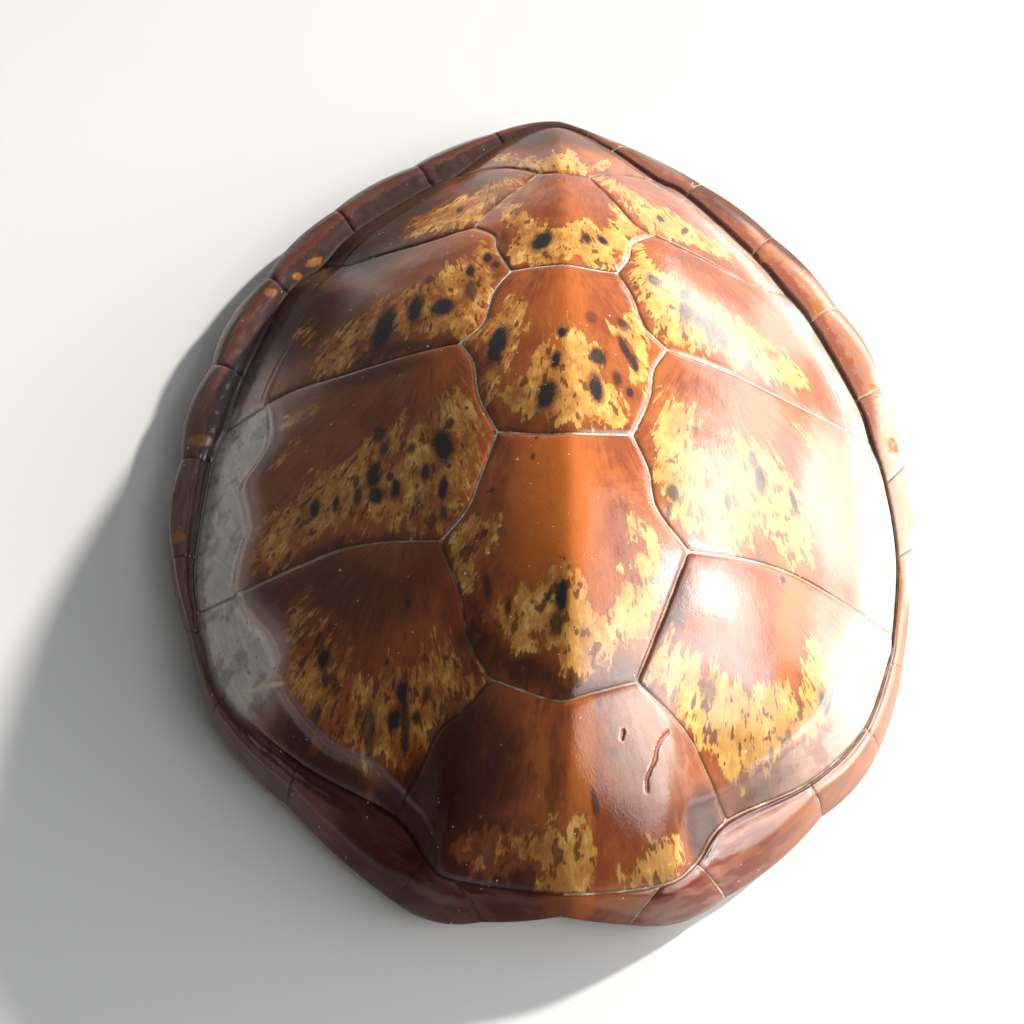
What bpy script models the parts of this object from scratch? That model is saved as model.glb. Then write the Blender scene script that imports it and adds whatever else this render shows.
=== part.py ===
"""Carapace of a young green sea turtle: a domed shell in one piece, open underneath.

The plan is drawn in millimetres, with the nuchal (neck) edge at -y and the tail at +y. Left and
right are those of a viewer who stands at the neck end. Two height fields over the same outline,
one for the scutes on top and one for the bone underneath, are triangulated and joined along the
edge. The finished shell stands on z = 0, with the origin under the middle of its bounding box.
"""

import math

import bmesh
import bpy
import numpy as np
from mathutils import Vector, geometry, kdtree

# Driving dimensions, in metres.
CARAPACE_LENGTH = 0.503
DOME_HEIGHT = 0.126
BONE_THICKNESS = 0.0045

# The plan below is drawn at this length, in units of a millimetre.
DRAWN_LENGTH = 503.0
UNIT = CARAPACE_LENGTH / DRAWN_LENGTH

# The dome falls from its crown, which lies over CENTRE, to the seam above the marginal scutes:
# roof-like to both sides and more roundly to the neck and the tail. Up to half of the way out it
# follows that seam's outline averaged over CALM radians.
CENTRE = (0.0, -55.0)
CROWN = DOME_HEIGHT / UNIT
THICKNESS = BONE_THICKNESS / UNIT
SIDE_POWER = 1.5
NECK_POWER = 2.4
TAIL_POWER = 2.0
CALM = 0.2

# A scute seam is a groove of this width and depth.
SEAM_WIDTH = 4.4
SEAM_DEPTH = 1.0

# Spacing of the mesh points, and how near to the outline a point counts as on it.
FIELD_STEP = 11.5
SEAM_STEP = 9.0
UNDERSIDE_STEP = 18.0
SNAP = 0.05

# Distance at which the two sides' edge points are one, in metres.
WELD = 0.00001

# Outer corners of the marginal scutes, from the neck back: N/M1, M1/M2 ... M11/M12.
OUTER_CORNERS = {
    "left": [(-33, -253), (-73, -245), (-127, -201), (-168, -161), (-186, -117), (-200, -75),
             (-204, -14), (-197, 51), (-173, 115), (-137, 170), (-90, 208), (-42, 236)],
    "right": [(35, -253), (80, -240), (130, -201), (162, -168), (179, -127), (195, -56),
              (198, -4), (193, 48), (173, 108), (139, 162), (97, 203), (53, 231)],
}
NECK_EDGE = (3, -250)
TAIL_EDGE = (5, 249)

# Inner corners of the same scutes, where they meet the seam that runs round the dome.
INNER_CORNERS = {
    "left": [(-46, -240), (-59, -231), (-121, -187), (-161, -153), (-178, -118), (-187, -75),
             (-186, -16), (-175, 40), (-156, 99), (-120, 146), (-75, 184), (-31, 220)],
    "right": [(47, -240), (63, -230), (120, -190), (152, -161), (170, -125), (184, -63),
              (184, -18), (174, 36), (153, 90), (122, 139), (84, 183), (38, 217)],
}
NECK_SEAM = (4, -245)
TAIL_SEAM = (4, 235)

# Outward bulge of each scute's edge, from the nuchal scute to M12.
EDGE_BULGE = {
    "left": [1.0, 4.5, 2.0, 2.5, 1.5, 1.5, 3.5, 5.0, 5.5, 4.5, 4.0, 3.5, 2.5],
    "right": [0.5, 5.0, 3.0, 3.0, 1.5, 0.5, 3.5, 5.5, 5.0, 3.5, 3.0, 1.5, 0.5],
}

# Heights round the margin, from the neck to the tail: the gutter at the inner seam, the crest of
# the turned-up rim, which is lower on the right, and the outer edge. GUTTER_SHARE is 0 where the
# edge only rolls over. They are averaged over BLEND radians.
GUTTER_HEIGHT = [36, 35, 34, 29, 24, 20, 17, 17, 18, 20, 22, 24, 26, 28]
CREST_HEIGHT = {
    "left": [25, 25, 25, 24, 23, 21, 19.5, 19.5, 20.5, 22.5, 24.5, 26.5, 28, 27],
    "right": [25, 25, 25, 25, 22.5, 19, 17.5, 17.5, 18.5, 21, 23.5, 25.5, 27.5, 27],
}
EDGE_HEIGHT = [7, 7, 7, 8, 9, 11, 12, 12, 12, 12, 12, 12, 12, 11]
GUTTER_SHARE = [0.0, 0.0, 0.1, 0.5, 1.0, 1.0, 1.0, 1.0, 1.0, 1.0, 1.0, 1.0, 1.0, 0.8]
BLEND = 0.08
CREST_PLACE = 0.32
CREST_ROUNDNESS = 0.9
ROLL_POWER = 1.7
ROLL_ROUNDNESS = 0.75

# Mesh rings across the margin, from its inner seam (0) to the outer edge (1).
MARGIN_SHARES = (0.15, CREST_PLACE, 0.72, 0.92)

# The rim stands on four corners and rises between them. FOOT_SHARE sets how long each foot is.
RIM_LIFT = 3.0
FOOT_SHARE = 0.35

# Points where three seams of the dome meet. "a" and "i" to "l" lie on the seam round the dome.
JUNCTIONS = {
    "left": {"a": (-75, -212), "b": (-32, -167), "c": (-56, -106), "d": (-32, -56),
             "e": (-51, 0), "f": (-27, 47), "g": (-47, 97), "h": (-11, 149),
             "i": (-61, 192), "j": (-137, 120), "k": (-181, 5), "l": (-181, -106)},
    "right": {"a": (79, -210), "b": (31, -167), "c": (55, -108), "d": (30, -56),
              "e": (50, 0), "f": (27, 48), "g": (50, 94), "h": (18, 148),
              "i": (66, 194), "j": (141, 110), "k": (179, 9), "l": (175, -109)},
}

# Seams between two junctions of one side, with the points that bend them.
SIDE_SEAMS = {
    "left": [("a", [(-64, -199), (-55, -184), (-43, -177)], "b"),
             ("b", [(-42, -151), (-47, -129), (-54, -112)], "c"),
             ("c", [(-45, -94), (-40, -81)], "d"), ("d", [(-41, -35), (-44, -15)], "e"),
             ("e", [(-40, 11), (-35, 33)], "f"), ("f", [(-34, 68), (-36, 83)], "g"),
             ("g", [(-40, 110), (-27, 128)], "h"), ("h", [(-22, 162), (-48, 184)], "i"),
             ("g", [(-80, 93), (-112, 100)], "j"), ("e", [(-107, 3), (-143, 8)], "k"),
             ("c", [(-102, -99), (-152, -104)], "l")],
    "right": [("a", [(65, -193), (55, -182)], "b"),
              ("b", [(43, -138)], "c"),
              ("c", [(40, -91), (37, -73)], "d"), ("d", [(39, -34), (42, -16)], "e"),
              ("e", [(39, 11), (34, 31)], "f"), ("f", [(34, 63), (38, 80)], "g"),
              ("g", [(40, 103), (30, 125)], "h"), ("h", [(31, 163), (49, 179)], "i"),
              ("g", [(73, 90), (108, 89)], "j"), ("e", [(114, 0), (155, 4)], "k"),
              ("c", [(104, -102), (152, -107)], "l")],
}

# Seams that cross the midline, from the left junction to the right one.
CROSS_SEAMS = [("b", [(-11, -175), (0, -177), (13, -173)]), ("d", [(-2, -62)]),
               ("f", [(-12, 48), (13, 47)]), ("h", [(3, 145)])]

# Edge of the thick bone above the sunken strip, from the neck back, and the strip's depth there.
BONE_EDGE = {
    "left": [(-53, -230, 0.0), (-60, -214, 0.7), (-79, -196, 0.9), (-118, -170, 1.2),
             (-132, -150, 2.0), (-154, -111, 2.2), (-158, -83, 2.2), (-161, -44, 2.2),
             (-147, -17, 2.0), (-154, 9, 1.6), (-146, 45, 0.8), (-130, 93, 0.5),
             (-99, 135, 0.5), (-58, 172, 0.3), (-20, 209, 0.0)],
    "right": [(52, -231, 0.0), (56, -210, 1.4), (84, -194, 0.8), (125, -164, 1.6),
              (136, -135, 1.8), (154, -107, 1.4), (161, -60, 1.2), (163, -17, 1.2),
              (159, 18, 1.2), (144, 59, 1.4), (116, 97, 1.6), (96, 124, 1.4),
              (63, 179, 1.0), (24, 209, 0.0)],
}
LIP_HEIGHT = 0.9
LIP_WIDTH = 3.5
STEP_WIDTH = 5.0

# The keel along the midline, higher towards the tail, and the swell of each scute.
KEEL_X = 1.5
KEEL_ENDS = (-235.0, 238.0)
KEEL_HEIGHT = 2.2
TAIL_KEEL_HEIGHT = 5.0
KEEL_WIDTH = 14.0
SCUTE_RISE = 0.9
SCUTE_EDGE = 14.0

# A flat foot starts a little inside the edge, and the inner wall rises from it.
FOOT_INSET = 4.0
FOOT_WIDTH = 8.0
WALL_SLOPE = 1.5
WALL_WIDTH = 8.0

# The backbone and the ribs, which fan out a little towards both ends, under the dome.
SPINE_HALF_WIDTH = 9.0
SPINE_RELIEF = 3.0
RIB_PAIRS = 8
RIB_ROW = (-190.0, 170.0)
RIB_RELIEF = 1.2
RIB_BEND = 0.25
RIB_REACH = 150.0
LINING_GAP = 1.5
STEEPEST = 2.2


def clear_scene():
    for obj in list(bpy.data.objects):
        bpy.data.objects.remove(obj, do_unlink=True)


def smooth(value):
    """A soft step from 0 to 1 as value goes from 0 to 1."""
    value = np.clip(value, 0.0, 1.0)
    return value * value * (3.0 - 2.0 * value)


def through(points, step, closed=False):
    """Points along a Catmull-Rom curve, about a step apart, in one list for each interval."""
    points = [np.array(point, float) for point in points]
    count = len(points)
    intervals = []
    for i in range(count if closed else count - 1):
        start, end = points[i], points[(i + 1) % count]
        before = points[i - 1] if closed or i > 0 else 2 * start - end
        after = points[(i + 2) % count] if closed or i + 2 < count else 2 * end - start
        pieces = max(1, round(float(np.linalg.norm(end - start)) / step))
        shares = np.arange(pieces + 1) / pieces
        row = []
        for t in shares:
            bend = (end - before) * t + (2 * before - 5 * start + 4 * end - after) * t**2
            bend = bend + (3 * start - before - 3 * end + after) * t**3
            row.append(start + 0.5 * bend)
        intervals.append(row)
    return intervals


def polyline(points, step):
    """The same curve as one list."""
    intervals = through(points, step)
    return [point for row in intervals for point in row[:-1]] + [intervals[-1][-1]]


def radius(x, y):
    return np.hypot(x - CENTRE[0], y - CENTRE[1])


def direction(x, y):
    """The angle round CENTRE, 0 towards the neck and positive towards the right."""
    return np.arctan2(x - CENTRE[0], CENTRE[1] - y)


class Round:
    """A value that changes with the direction from CENTRE, read between the given directions."""

    def __init__(self, turns, values):
        order = np.argsort(turns)
        self.turns = np.array(turns, float)[order]
        self.values = np.array(values, float)[order]

    def at(self, x, y):
        return np.interp(direction(x, y), self.turns, self.values, period=2 * math.pi)

    def softened(self, width):
        """The same value averaged over directions within about width radians."""
        turns = np.linspace(-math.pi, math.pi, 720, endpoint=False)
        values = np.interp(turns, self.turns, self.values, period=2 * math.pi)
        weights = np.exp(-0.5 * (turns / width) ** 2)
        weights = np.fft.ifftshift(weights / weights.sum())
        spectrum = np.fft.rfft(values) * np.fft.rfft(weights)
        return Round(turns, np.fft.irfft(spectrum, len(turns)))


def round_value(points, values):
    points = np.array(points, float)
    return Round(direction(points[:, 0], points[:, 1]), values)


def round_reach(points):
    """How far from CENTRE these points lie, by direction."""
    points = np.array(points, float)
    return round_value(points, radius(points[:, 0], points[:, 1]))


def around(left, right, neck=None, tail=None):
    """One closed list of points, from the neck along the right flank to the tail and back."""
    head = [] if neck is None else [neck]
    end = [] if tail is None else [tail]
    return head + list(right) + end + list(reversed(left))


def by_index(values):
    """A value for each margin corner, in the order that around() gives them."""
    return around(values[1:-1], values[1:-1], values[0], values[-1])


# The seam round the dome, with the junctions of the costal seams between the corners.
RING_ORDER = [0, 1, "a", 2, 3, 4, "l", 5, 6, "k", 7, 8, "j", 9, 10, "i", 11]


def ring_side(side):
    return [INNER_CORNERS[side][key] if isinstance(key, int) else JUNCTIONS[side][key]
            for key in RING_ORDER]


def margin_columns(step, seam_half):
    """Pairs of points (on the dome's seam, on the outer edge) all round, in mesh columns.

    Each item is (inner, outer, is_seam): is_seam marks a column on a seam between two marginals.
    """
    ring = around(ring_side("left"), ring_side("right"), NECK_SEAM, TAIL_SEAM)
    keys = around(RING_ORDER, RING_ORDER, "neck", "tail")
    outer = around(OUTER_CORNERS["left"], OUTER_CORNERS["right"], NECK_EDGE, TAIL_EDGE)
    bulges = EDGE_BULGE["right"] + EDGE_BULGE["left"][::-1]
    rows = through(ring, step, closed=True)
    corners = [i for i, key in enumerate(keys) if not isinstance(key, str) or key in ("neck", "tail")]
    columns = []
    for n, first in enumerate(corners):
        last = corners[(n + 1) % len(corners)]
        span = [first] if (first + 1) % len(ring) == last else [first, (first + 1) % len(ring)]
        inner = [point for i in span for point in rows[i][:-1]] + [rows[span[-1]][-1]]
        lengths = np.cumsum([0.0] + [np.linalg.norm(b - a) for a, b in zip(inner, inner[1:])])
        start = np.array(outer[n], float)
        chord = np.array(outer[(n + 1) % len(outer)], float) - start
        outward = np.array([chord[1], -chord[0]]) / np.linalg.norm(chord)
        ends_at_seam = (keys[first] not in ("neck", "tail"), keys[last] not in ("neck", "tail"))
        shares = list(lengths / lengths[-1])
        places = list(zip(shares[:-1], inner[:-1]))
        flank = seam_half / lengths[-1]
        if ends_at_seam[0]:
            places.insert(1, (flank, inner[0] + (inner[1] - inner[0]) * flank / shares[1]))
        if ends_at_seam[1]:
            back = flank / (1 - shares[-2])
            places.append((1 - flank, inner[-1] + (inner[-2] - inner[-1]) * back))
        for share, point in places:
            edge = start + chord * share + outward * (4 * bulges[n] * share * (1 - share))
            columns.append((point, edge, share == 0 and ends_at_seam[0]))
    return columns


def dome_seams(step):
    """The seams on the dome as polylines that share their end points."""
    lines = []
    for side, seams in SIDE_SEAMS.items():
        for start, bends, end in seams:
            lines.append(polyline([JUNCTIONS[side][start], *bends, JUNCTIONS[side][end]], step))
    for key, bends in CROSS_SEAMS:
        lines.append(polyline([JUNCTIONS["left"][key], *bends, JUNCTIONS["right"][key]], step))
    return lines


def point_tree(points):
    tree = kdtree.KDTree(len(points))
    for i, point in enumerate(points):
        tree.insert((point[0], point[1], 0.0), i)
    tree.balance()
    return tree


def line_tree(lines, spacing=1.0):
    """A search tree of points closely spaced along these lines."""
    dense = []
    for line in lines:
        for start, end in zip(line, line[1:]):
            count = max(1, math.ceil(float(np.linalg.norm(end - start)) / spacing))
            dense += [start + (end - start) * i / count for i in range(count + 1)]
    return point_tree(dense)


def distances(tree, x, y):
    return np.array([tree.find((a, b, 0.0))[2] for a, b in zip(x, y)])


class Carapace:
    """The shape of the shell, as heights over the plan."""

    def __init__(self):
        self.columns = margin_columns(SEAM_STEP, SEAM_WIDTH / 2)
        self.inner = [column[0] for column in self.columns]
        self.outer = [column[1] for column in self.columns]
        self.seams = dome_seams(SEAM_STEP)
        self.dome_lines = self.seams + [self.inner + self.inner[:1]]
        self.margin_lines = [[inner, outer] for inner, outer, is_seam in self.columns if is_seam]
        self.tree = line_tree(self.dome_lines + self.margin_lines)
        self.ring = round_reach(self.inner)
        self.calm_ring = self.ring.softened(CALM)
        self.edge = round_reach(self.outer)
        corners = around(INNER_CORNERS["left"], INNER_CORNERS["right"], NECK_SEAM, TAIL_SEAM)
        self.gutter = round_value(corners, by_index(GUTTER_HEIGHT)).softened(BLEND)
        left, right = CREST_HEIGHT["left"], CREST_HEIGHT["right"]
        crest = around(left[1:-1], right[1:-1], left[0], left[-1])
        self.crest = round_value(corners, crest).softened(BLEND)
        self.edge_height = round_value(corners, by_index(EDGE_HEIGHT)).softened(BLEND)
        self.gutter_share = round_value(corners, by_index(GUTTER_SHARE)).softened(BLEND)
        bone = around(BONE_EDGE["left"], BONE_EDGE["right"])
        self.bone_edge = round_reach([point[:2] for point in bone])
        self.sunken = round_value([point[:2] for point in bone], [point[2] for point in bone])

    def inset(self, x, y):
        """How far inside the outer edge a point lies."""
        inset = self.edge.at(x, y) - radius(x, y)
        return np.where(inset < SNAP, 0.0, inset)

    def lift(self, x, y):
        """How far the rim stands off the floor: none at four places, most between them."""
        wave = np.sin(2.0 * (direction(x, y) - math.pi / 4)) ** 2
        return RIM_LIFT * np.clip((wave - FOOT_SHARE) / (1 - FOOT_SHARE), 0.0, 1.0)

    def smooth_dome(self, x, y):
        true_ring = self.ring.at(x, y)
        outward = smooth(2.0 * radius(x, y) / true_ring - 1.0)
        reach = self.calm_ring.at(x, y) * (1 - outward) + true_ring * outward
        share = np.clip(radius(x, y) / reach, 0.0, 1.0)
        turn = direction(x, y)
        across, along = np.abs(np.sin(turn)), np.abs(np.cos(turn))
        rearward = smooth(np.abs(turn) / math.pi * 2 - 1)
        power = NECK_POWER + (TAIL_POWER - NECK_POWER) * rearward
        fall = (share * across) ** SIDE_POWER + (share * along) ** power
        fall = fall / (across**SIDE_POWER + along**power)
        low = self.gutter.at(x, y)
        return low + (CROWN - low) * (1 - fall)

    def margin(self, x, y):
        """The marginal scutes: a gutter and a turned-up rim, or an edge that rolls over."""
        inner, outer = self.ring.at(x, y), self.edge.at(x, y)
        share = np.clip(1 - self.inset(x, y) / (outer - inner), 0.0, 1.0)
        gutter, crest = self.gutter.at(x, y), self.crest.at(x, y)
        low = self.edge_height.at(x, y) + self.lift(x, y)
        rolled = low + (gutter - low) * (1 - share**ROLL_POWER) ** ROLL_ROUNDNESS
        inside = gutter + (crest - gutter) * smooth(share / CREST_PLACE)
        beyond = np.clip((share - CREST_PLACE) / (1 - CREST_PLACE), 0.0, 1.0)
        outside = low + (crest - low) * (1 - beyond**2) ** CREST_ROUNDNESS
        turned_up = np.where(share < CREST_PLACE, inside, outside)
        blend = self.gutter_share.at(x, y)
        return rolled * (1 - blend) + turned_up * blend

    def relief(self, x, y):
        """Keel, bone edge and sunken strip on the dome."""
        past = radius(x, y) - self.bone_edge.at(x, y)
        depth = self.sunken.at(x, y)
        lip = LIP_HEIGHT * np.clip(depth / 1.5, 0.0, 1.0) * np.exp(-((past / LIP_WIDTH) ** 2))
        sunk = -depth * smooth(past / STEP_WIDTH)
        tail = smooth((y - 60.0) / 120.0)
        height = KEEL_HEIGHT + (TAIL_KEEL_HEIGHT - KEEL_HEIGHT) * tail
        fade = smooth((y - KEEL_ENDS[0]) / 40.0) * smooth((KEEL_ENDS[1] - y) / 25.0)
        keel = height * fade * np.exp(-np.abs((x - KEEL_X) / KEEL_WIDTH) ** 1.5)
        return lip + sunk + keel

    def top(self, x, y):
        near = distances(self.tree, x, y)
        rise = SCUTE_RISE * (1 - np.exp(-near / SCUTE_EDGE))
        groove = -SEAM_DEPTH * np.clip(1 - 2 * near / SEAM_WIDTH, 0.0, 1.0)
        groove = groove * smooth(self.inset(x, y) / 6.0)
        dome = self.smooth_dome(x, y) + self.relief(x, y) + rise
        on_dome = radius(x, y) <= self.ring.at(x, y) + 0.01
        return np.where(on_dome, dome, self.margin(x, y)) + groove

    def slope_thickness(self, x, y):
        """The vertical thickness of a wall of even thickness."""
        reach = 2.0
        across = self.smooth_dome(x + reach, y) - self.smooth_dome(x - reach, y)
        along = self.smooth_dome(x, y + reach) - self.smooth_dome(x, y - reach)
        steep = np.clip(np.hypot(across, along) / (2 * reach), 0.0, STEEPEST)
        return THICKNESS * np.sqrt(1 + steep**2)

    def ribs(self, x, y):
        """The backbone and the rib pairs that stand out on the inside of the dome."""
        spine = SPINE_RELIEF * np.exp(-np.abs(x / SPINE_HALF_WIDTH) ** 3)
        start, end = RIB_ROW
        row = (y - start) / (end - start) * RIB_PAIRS
        bend = RIB_BEND * (np.abs(x) / RIB_REACH) ** 2 * np.sign(y - (start + end) / 2)
        rib = RIB_RELIEF * (0.5 + 0.5 * np.cos(2 * math.pi * (row - bend)))
        return spine + rib * smooth(np.abs(x) / 25.0)

    def underside(self, x, y):
        inset = self.inset(x, y)
        lift = self.lift(x, y)
        edge = self.edge_height.at(x, y)
        turn = lift + edge * np.clip(1 - inset / FOOT_INSET, 0.0, 1.0) ** 2
        wall_start = FOOT_INSET + FOOT_WIDTH
        wall = lift + WALL_SLOPE * np.clip(inset - wall_start, 0.0, None)
        under_dome = smooth((self.ring.at(x, y) - radius(x, y)) / 30.0)
        ceiling = self.smooth_dome(x, y) - self.slope_thickness(x, y) - LINING_GAP
        ceiling = ceiling - self.ribs(x, y) * under_dome
        inner = np.minimum(wall, np.maximum(ceiling, lift))
        return np.where(inset < wall_start, turn, inner)


def triangulate(points, lines, outline):
    """Triangles over the plan that keep to the outline and to the lines. Points are welded."""
    index = {}
    welded = []

    def number(point):
        key = (round(float(point[0]), 2), round(float(point[1]), 2))
        if key not in index:
            index[key] = len(welded)
            welded.append(Vector(key))
        return index[key]

    loop = [number(point) for point in outline]
    edges = []
    for line in lines:
        ids = [number(point) for point in line]
        edges += [pair for pair in zip(ids, ids[1:]) if pair[0] != pair[1]]
    for point in points:
        number(point)
    found = geometry.delaunay_2d_cdt(welded, edges, [loop], 1, 1e-4)
    plan = np.array([tuple(vertex) for vertex in found[0]])
    return plan, [tuple(face) for face in found[2]]


def field(step, keep):
    """A triangular field of points over the plan, where keep allows them."""
    rows = np.arange(-260.0, 265.0, step * math.sqrt(3) / 2)
    points = []
    for n, y in enumerate(rows):
        x = np.arange(-210.0, 212.0, step) + (n % 2) * step / 2
        points.append(np.stack([x, np.full_like(x, y)], 1))
    points = np.concatenate(points)
    return points[keep(points[:, 0], points[:, 1])]


def flanks(lines, offset):
    """Points beside each inner vertex of the lines, at an offset to either side."""
    points = []
    for line in lines:
        for before, here, after in zip(line, line[1:], line[2:]):
            along = (after - before) / np.linalg.norm(after - before)
            side = np.array([-along[1], along[0]]) * offset
            points += [here + side, here - side]
    return points


def top_plan(shell):
    """Plan points and triangles of the upper side, with the seams as edges of the mesh."""
    half = SEAM_WIDTH / 2
    rings = []
    for share in MARGIN_SHARES:
        rings.append([a + (b - a) * share for a, b in zip(shell.inner, shell.outer)])
    round_dome = [shell.inner[-1:] + shell.inner + shell.inner[:1]]
    sides = np.array(flanks(round_dome, half) + flanks(shell.seams, half))
    near = distances(shell.tree, sides[:, 0], sides[:, 1])
    inside = radius(sides[:, 0], sides[:, 1]) < shell.ring.at(sides[:, 0], sides[:, 1])
    sides = sides[(near > 0.8 * half) & inside]
    bone = [polyline([point[:2] for point in BONE_EDGE[side]], SEAM_STEP) for side in BONE_EDGE]
    bone_points = np.array([point for line in bone for point in line] + flanks(bone, STEP_WIDTH))
    near = distances(shell.tree, bone_points[:, 0], bone_points[:, 1])
    bone_points = bone_points[near > 1.4 * half]
    rows = np.arange(*KEEL_ENDS, SEAM_STEP)
    ridge = np.stack([np.full_like(rows, KEEL_X), rows], 1)
    near = distances(shell.tree, ridge[:, 0], ridge[:, 1])
    ridge = ridge[near > half + 0.3 * SEAM_STEP]
    marked_tree = point_tree([*bone_points, *ridge])

    def keep(x, y):
        clear = distances(shell.tree, x, y) > half + 0.45 * FIELD_STEP
        clear &= distances(marked_tree, x, y) > 0.6 * FIELD_STEP
        return clear & (radius(x, y) < shell.ring.at(x, y) - 0.5 * FIELD_STEP)

    points = [*sides, *bone_points, *ridge, *field(FIELD_STEP, keep)]
    points += [point for ring in rings for point in ring]
    lines = shell.dome_lines + [ring + ring[:1] for ring in rings]
    for inner, outer in shell.margin_lines:
        lines.append([inner + (outer - inner) * share for share in (0, *MARGIN_SHARES, 1)])
    return triangulate(points, lines, shell.outer)


def underside_plan(shell):
    wall_start = FOOT_INSET + FOOT_WIDTH
    wall_end = wall_start + WALL_WIDTH
    rings = []
    for inset in (FOOT_INSET, wall_start, wall_end):
        ring = []
        for point in shell.outer:
            inward = np.array(CENTRE) - point
            ring.append(point + inward * inset / np.linalg.norm(inward))
        rings.append(ring + ring[:1])

    def keep(x, y):
        clear = np.abs(x) > SPINE_HALF_WIDTH + 0.3 * UNDERSIDE_STEP
        return clear & (shell.inset(x, y) > wall_end + 0.5 * UNDERSIDE_STEP)

    points = list(field(UNDERSIDE_STEP, keep))
    for x in (-SPINE_HALF_WIDTH, 0.0, SPINE_HALF_WIDTH):
        points += [np.array([x, y]) for y in np.arange(-200.0, 205.0, UNDERSIDE_STEP)]
    return triangulate(points, rings, shell.outer)


def shell_mesh(shell):
    """One closed mesh: the upper side, the underside turned over, and their common edge."""
    mesh = bmesh.new()
    sides = ((top_plan(shell), shell.top, False), (underside_plan(shell), shell.underside, True))
    for (plan, faces), height, turned in sides:
        heights = height(plan[:, 0], plan[:, 1])
        vertices = []
        for (x, y), z in zip(plan, heights):
            vertices.append(mesh.verts.new((x * UNIT, y * UNIT, z * UNIT)))
        for face in faces:
            corners = [vertices[i] for i in face]
            mesh.faces.new(reversed(corners) if turned else corners)
    bmesh.ops.remove_doubles(mesh, verts=mesh.verts, dist=WELD)
    places = np.array([vertex.co for vertex in mesh.verts])
    low, high = places.min(axis=0), places.max(axis=0)
    to_origin = Vector((-(low[0] + high[0]) / 2, -(low[1] + high[1]) / 2, -low[2]))
    bmesh.ops.translate(mesh, verts=mesh.verts, vec=to_origin)
    return mesh


def horn_material():
    material = bpy.data.materials.new("varnished scutes")
    material.use_nodes = True
    shader = material.node_tree.nodes["Principled BSDF"]
    shader.inputs["Base Color"].default_value = (0.20, 0.06, 0.02, 1.0)
    shader.inputs["Roughness"].default_value = 0.25
    shader.inputs["Metallic"].default_value = 0.0
    return material


def build():
    clear_scene()
    collection = bpy.data.collections.new("sea turtle shell")
    bpy.context.scene.collection.children.link(collection)
    mesh = bpy.data.meshes.new("carapace")
    shape = shell_mesh(Carapace())
    shape.to_mesh(mesh)
    shape.free()
    mesh.shade_smooth()
    mesh.set_sharp_from_angle(angle=math.radians(50))
    mesh.materials.append(horn_material())
    carapace = bpy.data.objects.new("carapace", mesh)
    collection.objects.link(carapace)


build()
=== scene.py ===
"""A varnished sea turtle carapace on a pale floor, seen from above its neck end.

The shell is one fine closed mesh over the same plan as the solid. Plan points are in millimetres,
with the neck edge at -y and the tail at +y. Each scute carries its own pattern: amber zones, dark
patches and spots are drawn as outlines and ovals, and the mesh stores how far each point lies
inside them. The shader breaks their edges up into streaks that run from the scute's rear.
"""

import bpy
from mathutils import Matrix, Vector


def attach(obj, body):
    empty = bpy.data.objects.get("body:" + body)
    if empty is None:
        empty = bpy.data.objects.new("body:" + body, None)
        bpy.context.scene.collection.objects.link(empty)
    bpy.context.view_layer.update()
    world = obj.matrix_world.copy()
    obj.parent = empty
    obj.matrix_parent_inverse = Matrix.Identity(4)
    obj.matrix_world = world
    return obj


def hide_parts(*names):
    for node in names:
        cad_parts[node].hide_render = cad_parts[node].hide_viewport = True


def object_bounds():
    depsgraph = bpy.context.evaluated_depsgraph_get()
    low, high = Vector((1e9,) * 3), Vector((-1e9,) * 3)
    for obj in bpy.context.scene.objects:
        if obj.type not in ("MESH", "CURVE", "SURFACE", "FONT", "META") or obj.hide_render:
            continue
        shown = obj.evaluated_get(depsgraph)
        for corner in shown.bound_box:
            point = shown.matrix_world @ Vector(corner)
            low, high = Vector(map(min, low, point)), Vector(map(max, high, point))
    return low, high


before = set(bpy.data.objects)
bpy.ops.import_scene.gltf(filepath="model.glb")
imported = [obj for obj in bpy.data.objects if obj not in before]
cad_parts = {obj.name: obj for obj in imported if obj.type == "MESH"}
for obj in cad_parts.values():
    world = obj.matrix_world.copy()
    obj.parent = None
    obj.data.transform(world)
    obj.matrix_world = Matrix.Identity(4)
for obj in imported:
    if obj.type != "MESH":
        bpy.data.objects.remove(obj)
cad_box = [list(map(float, corner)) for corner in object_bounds()]

import math

import bpy
import numpy as np
from mathutils import Matrix, Vector, geometry, kdtree, noise

# The plan is drawn in millimetres. The dome falls from its crown over CENTRE, by a power of the
# distance for each direction. Its inner half follows a ring softened over CALM radians.
UNIT = 0.001
CENTRE = (0.0, -55.0)
CROWN = 126.0
THICKNESS = 4.5
SIDE_POWER = 1.5
NECK_POWER = 2.4
TAIL_POWER = 2.0
CALM = 0.2

# A seam is a narrow crack in a wide shallow valley.
CRACK_HALF = 0.7
CRACK_DEPTH = 0.5
VALLEY_HALF = 2.2
VALLEY_DEPTH = 0.35

# Mesh spacing.
FIELD_STEP = 2.0
SEAM_STEP = 2.0
UNDERSIDE_STEP = 4.5
DAMAGE_STEP = 0.7
DAMAGE_REACH = 4.0
SIDE_CLEARANCE = 0.9
LINE_SPACING = 0.5
# A point within SNAP of the outer edge counts as lying on it, and one up to RING_SLACK beyond the
# seam round the dome still counts as lying on the dome.
SNAP = 0.05
RING_SLACK = 0.01
EDGE_TOLERANCE = 1e-4

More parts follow.
